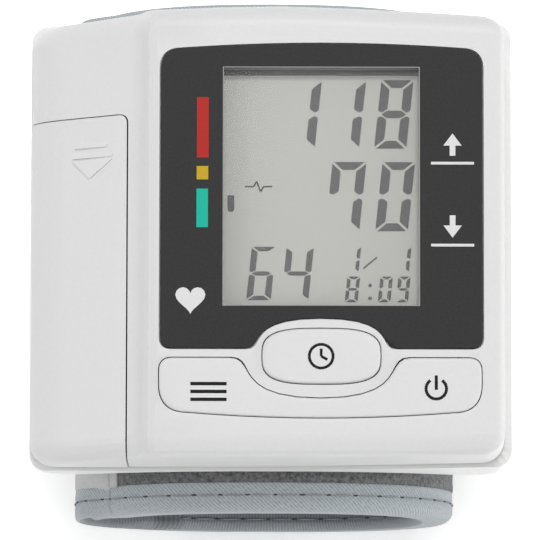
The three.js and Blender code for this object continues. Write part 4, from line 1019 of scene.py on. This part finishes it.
bladder = sweep("air_bladder", spread(*BLADDER_ANGLES, 2.0), bladder_section, [LOOKS["bladder"]])
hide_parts("cuff_bladder")
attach(bladder, "case")


def run_round(start, end, offset):
    """The length along the cuff's loop between two angles, in metres."""
    spots = [cuff_point(angle, offset) for angle in spread(start, end, 0.5)]
    return sum(math.dist(a, b) for a, b in zip(spots, spots[1:])) * MM


run_round(CUFF_START, CUFF_END, 0)
run_round(CUFF_START, CUFF_END, LINING_OUTER)
run_round(STRAP_END, STRAP_START, STRAP_RISE)
run_round(STRAP_START, CUFF_START, 0)


# Floor, light and camera

PAPER_LIGHT = 0.8
PAPER_SEEN = 1.6
PAPER_MOTTLE = 0.01
SKY_LIGHT = 0.36
SKY_SEEN = 1.0
FLOOR_HALF = 3000
NEAR_FLOOR = 0.3
FAR_FLOOR = 0.8


def seen_share(tree):
    """An output that is 1 for rays that look at the backdrop and 0 for rays that carry its light."""
    rays = tree.nodes.new("ShaderNodeLightPath")
    share = rays.outputs["Is Camera Ray"]
    for other in ("Is Glossy Ray", "Is Transmission Ray"):
        larger = tree.nodes.new("ShaderNodeMath")
        larger.operation = "MAXIMUM"
        tree.links.new(share, larger.inputs[0])
        tree.links.new(rays.outputs[other], larger.inputs[1])
        share = larger.outputs["Value"]
    return share


def backdrop(name):
    """White paper that lights the scene as paper does, looks fully lit when seen, and stays white far off."""
    material = bpy.data.materials.new(name)
    material.use_nodes = True
    tree = material.node_tree
    tree.nodes.clear()
    coords = tree.nodes.new("ShaderNodeTexCoord")
    grain = tree.nodes.new("ShaderNodeTexNoise")
    grain.inputs["Scale"].default_value = 300.0
    tree.links.new(coords.outputs["Object"], grain.inputs["Vector"])
    shares = []
    for tone in (PAPER_LIGHT, PAPER_SEEN):
        ramp = tree.nodes.new("ShaderNodeMapRange")
        ramp.inputs["To Min"].default_value = tone - PAPER_MOTTLE
        ramp.inputs["To Max"].default_value = tone + PAPER_MOTTLE
        tree.links.new(grain.outputs["Fac"], ramp.inputs["Value"])
        paper = tree.nodes.new("ShaderNodeBsdfDiffuse")
        tree.links.new(ramp.outputs["Result"], paper.inputs["Color"])
        shares.append(paper)
    distance = tree.nodes.new("ShaderNodeVectorMath")
    distance.operation = "LENGTH"
    tree.links.new(coords.outputs["Object"], distance.inputs[0])
    far_share = tree.nodes.new("ShaderNodeMapRange")
    far_share.inputs["From Min"].default_value = NEAR_FLOOR
    far_share.inputs["From Max"].default_value = FAR_FLOOR
    tree.links.new(distance.outputs["Value"], far_share.inputs["Value"])
    glow = tree.nodes.new("ShaderNodeEmission")
    seen = tree.nodes.new("ShaderNodeMixShader")
    tree.links.new(far_share.outputs["Result"], seen.inputs["Fac"])
    tree.links.new(shares[1].outputs["BSDF"], seen.inputs[1])
    tree.links.new(glow.outputs["Emission"], seen.inputs[2])
    mix = tree.nodes.new("ShaderNodeMixShader")
    output = tree.nodes.new("ShaderNodeOutputMaterial")
    tree.links.new(seen_share(tree), mix.inputs["Fac"])
    tree.links.new(shares[0].outputs["BSDF"], mix.inputs[1])
    tree.links.new(seen.outputs["Shader"], mix.inputs[2])
    tree.links.new(mix.outputs["Shader"], output.inputs["Surface"])
    return material


floor_corners = [(x, y, 0) for x, y in rect(-FLOOR_HALF, -FLOOR_HALF, FLOOR_HALF, FLOOR_HALF)]
floor = new_mesh("floor", floor_corners, [(0, 1, 2, 3)], backdrop("floor_white"))

world = bpy.data.worlds.new("studio")
bpy.context.scene.world = world
world.use_nodes = True
background = world.node_tree.nodes["Background"]
background.inputs["Color"].default_value = (1, 1, 1, 1)
sky_share = world.node_tree.nodes.new("ShaderNodeMapRange")
sky_share.inputs["To Min"].default_value = SKY_LIGHT
sky_share.inputs["To Max"].default_value = SKY_SEEN
world.node_tree.links.new(seen_share(world.node_tree), sky_share.inputs["Value"])
world.node_tree.links.new(sky_share.outputs["Result"], background.inputs["Strength"])


LAMP_AIM = Vector((0, 0, 0.05))


def softbox(name, place, size, power):
    """A rectangular lamp that looks at the object."""
    lamp = bpy.data.lights.new(name, "AREA")
    lamp.shape = "RECTANGLE"
    lamp.size = size[0]
    lamp.size_y = size[1]
    lamp.energy = power
    holder = bpy.data.objects.new(name, lamp)
    holder.location = place
    holder.rotation_euler = (LAMP_AIM - Vector(place)).to_track_quat("-Z", "Y").to_euler()
    bpy.context.scene.collection.objects.link(holder)


for name, place, size, power in (
    ("top_light", (0.1, 0.0, 1.5), (0.5, 0.3), 2.2),
    ("back_light", (0.1, 0.7, 1.3), (0.6, 0.2), 7.0),
    ("front_light", (0.3, -1.0, 0.12), (0.9, 0.15), 2.5),
    ("left_light", (-0.9, 0.0, 0.6), (0.6, 0.6), 2.7),
    ("right_light", (1.0, -0.1, 0.25), (0.6, 0.4), 4.0),
):
    softbox(name, place, size, power)

CAMERA = Vector((0, -0.0873, 0.8513))
AIM = Vector((0, -0.0044, 0.0763))
ROLL = math.radians(0.1)
PIXELS_PER_MM = 6.83
FRAME_PIXELS = 540
camera_data = bpy.data.cameras.new("camera")
camera_data.sensor_width = 36.0
camera_data.lens = PIXELS_PER_MM * (AIM - CAMERA).length / MM * camera_data.sensor_width / FRAME_PIXELS
camera_data.clip_end = 20.0
camera = bpy.data.objects.new("camera", camera_data)
camera.location = CAMERA
towards = (AIM - CAMERA).to_track_quat("-Z", "Y").to_matrix()
camera.rotation_euler = (towards @ Matrix.Rotation(ROLL, 3, "Z")).to_euler()
bpy.context.scene.collection.objects.link(camera)
bpy.context.scene.camera = camera
bpy.context.scene.view_settings.view_transform = "Standard"
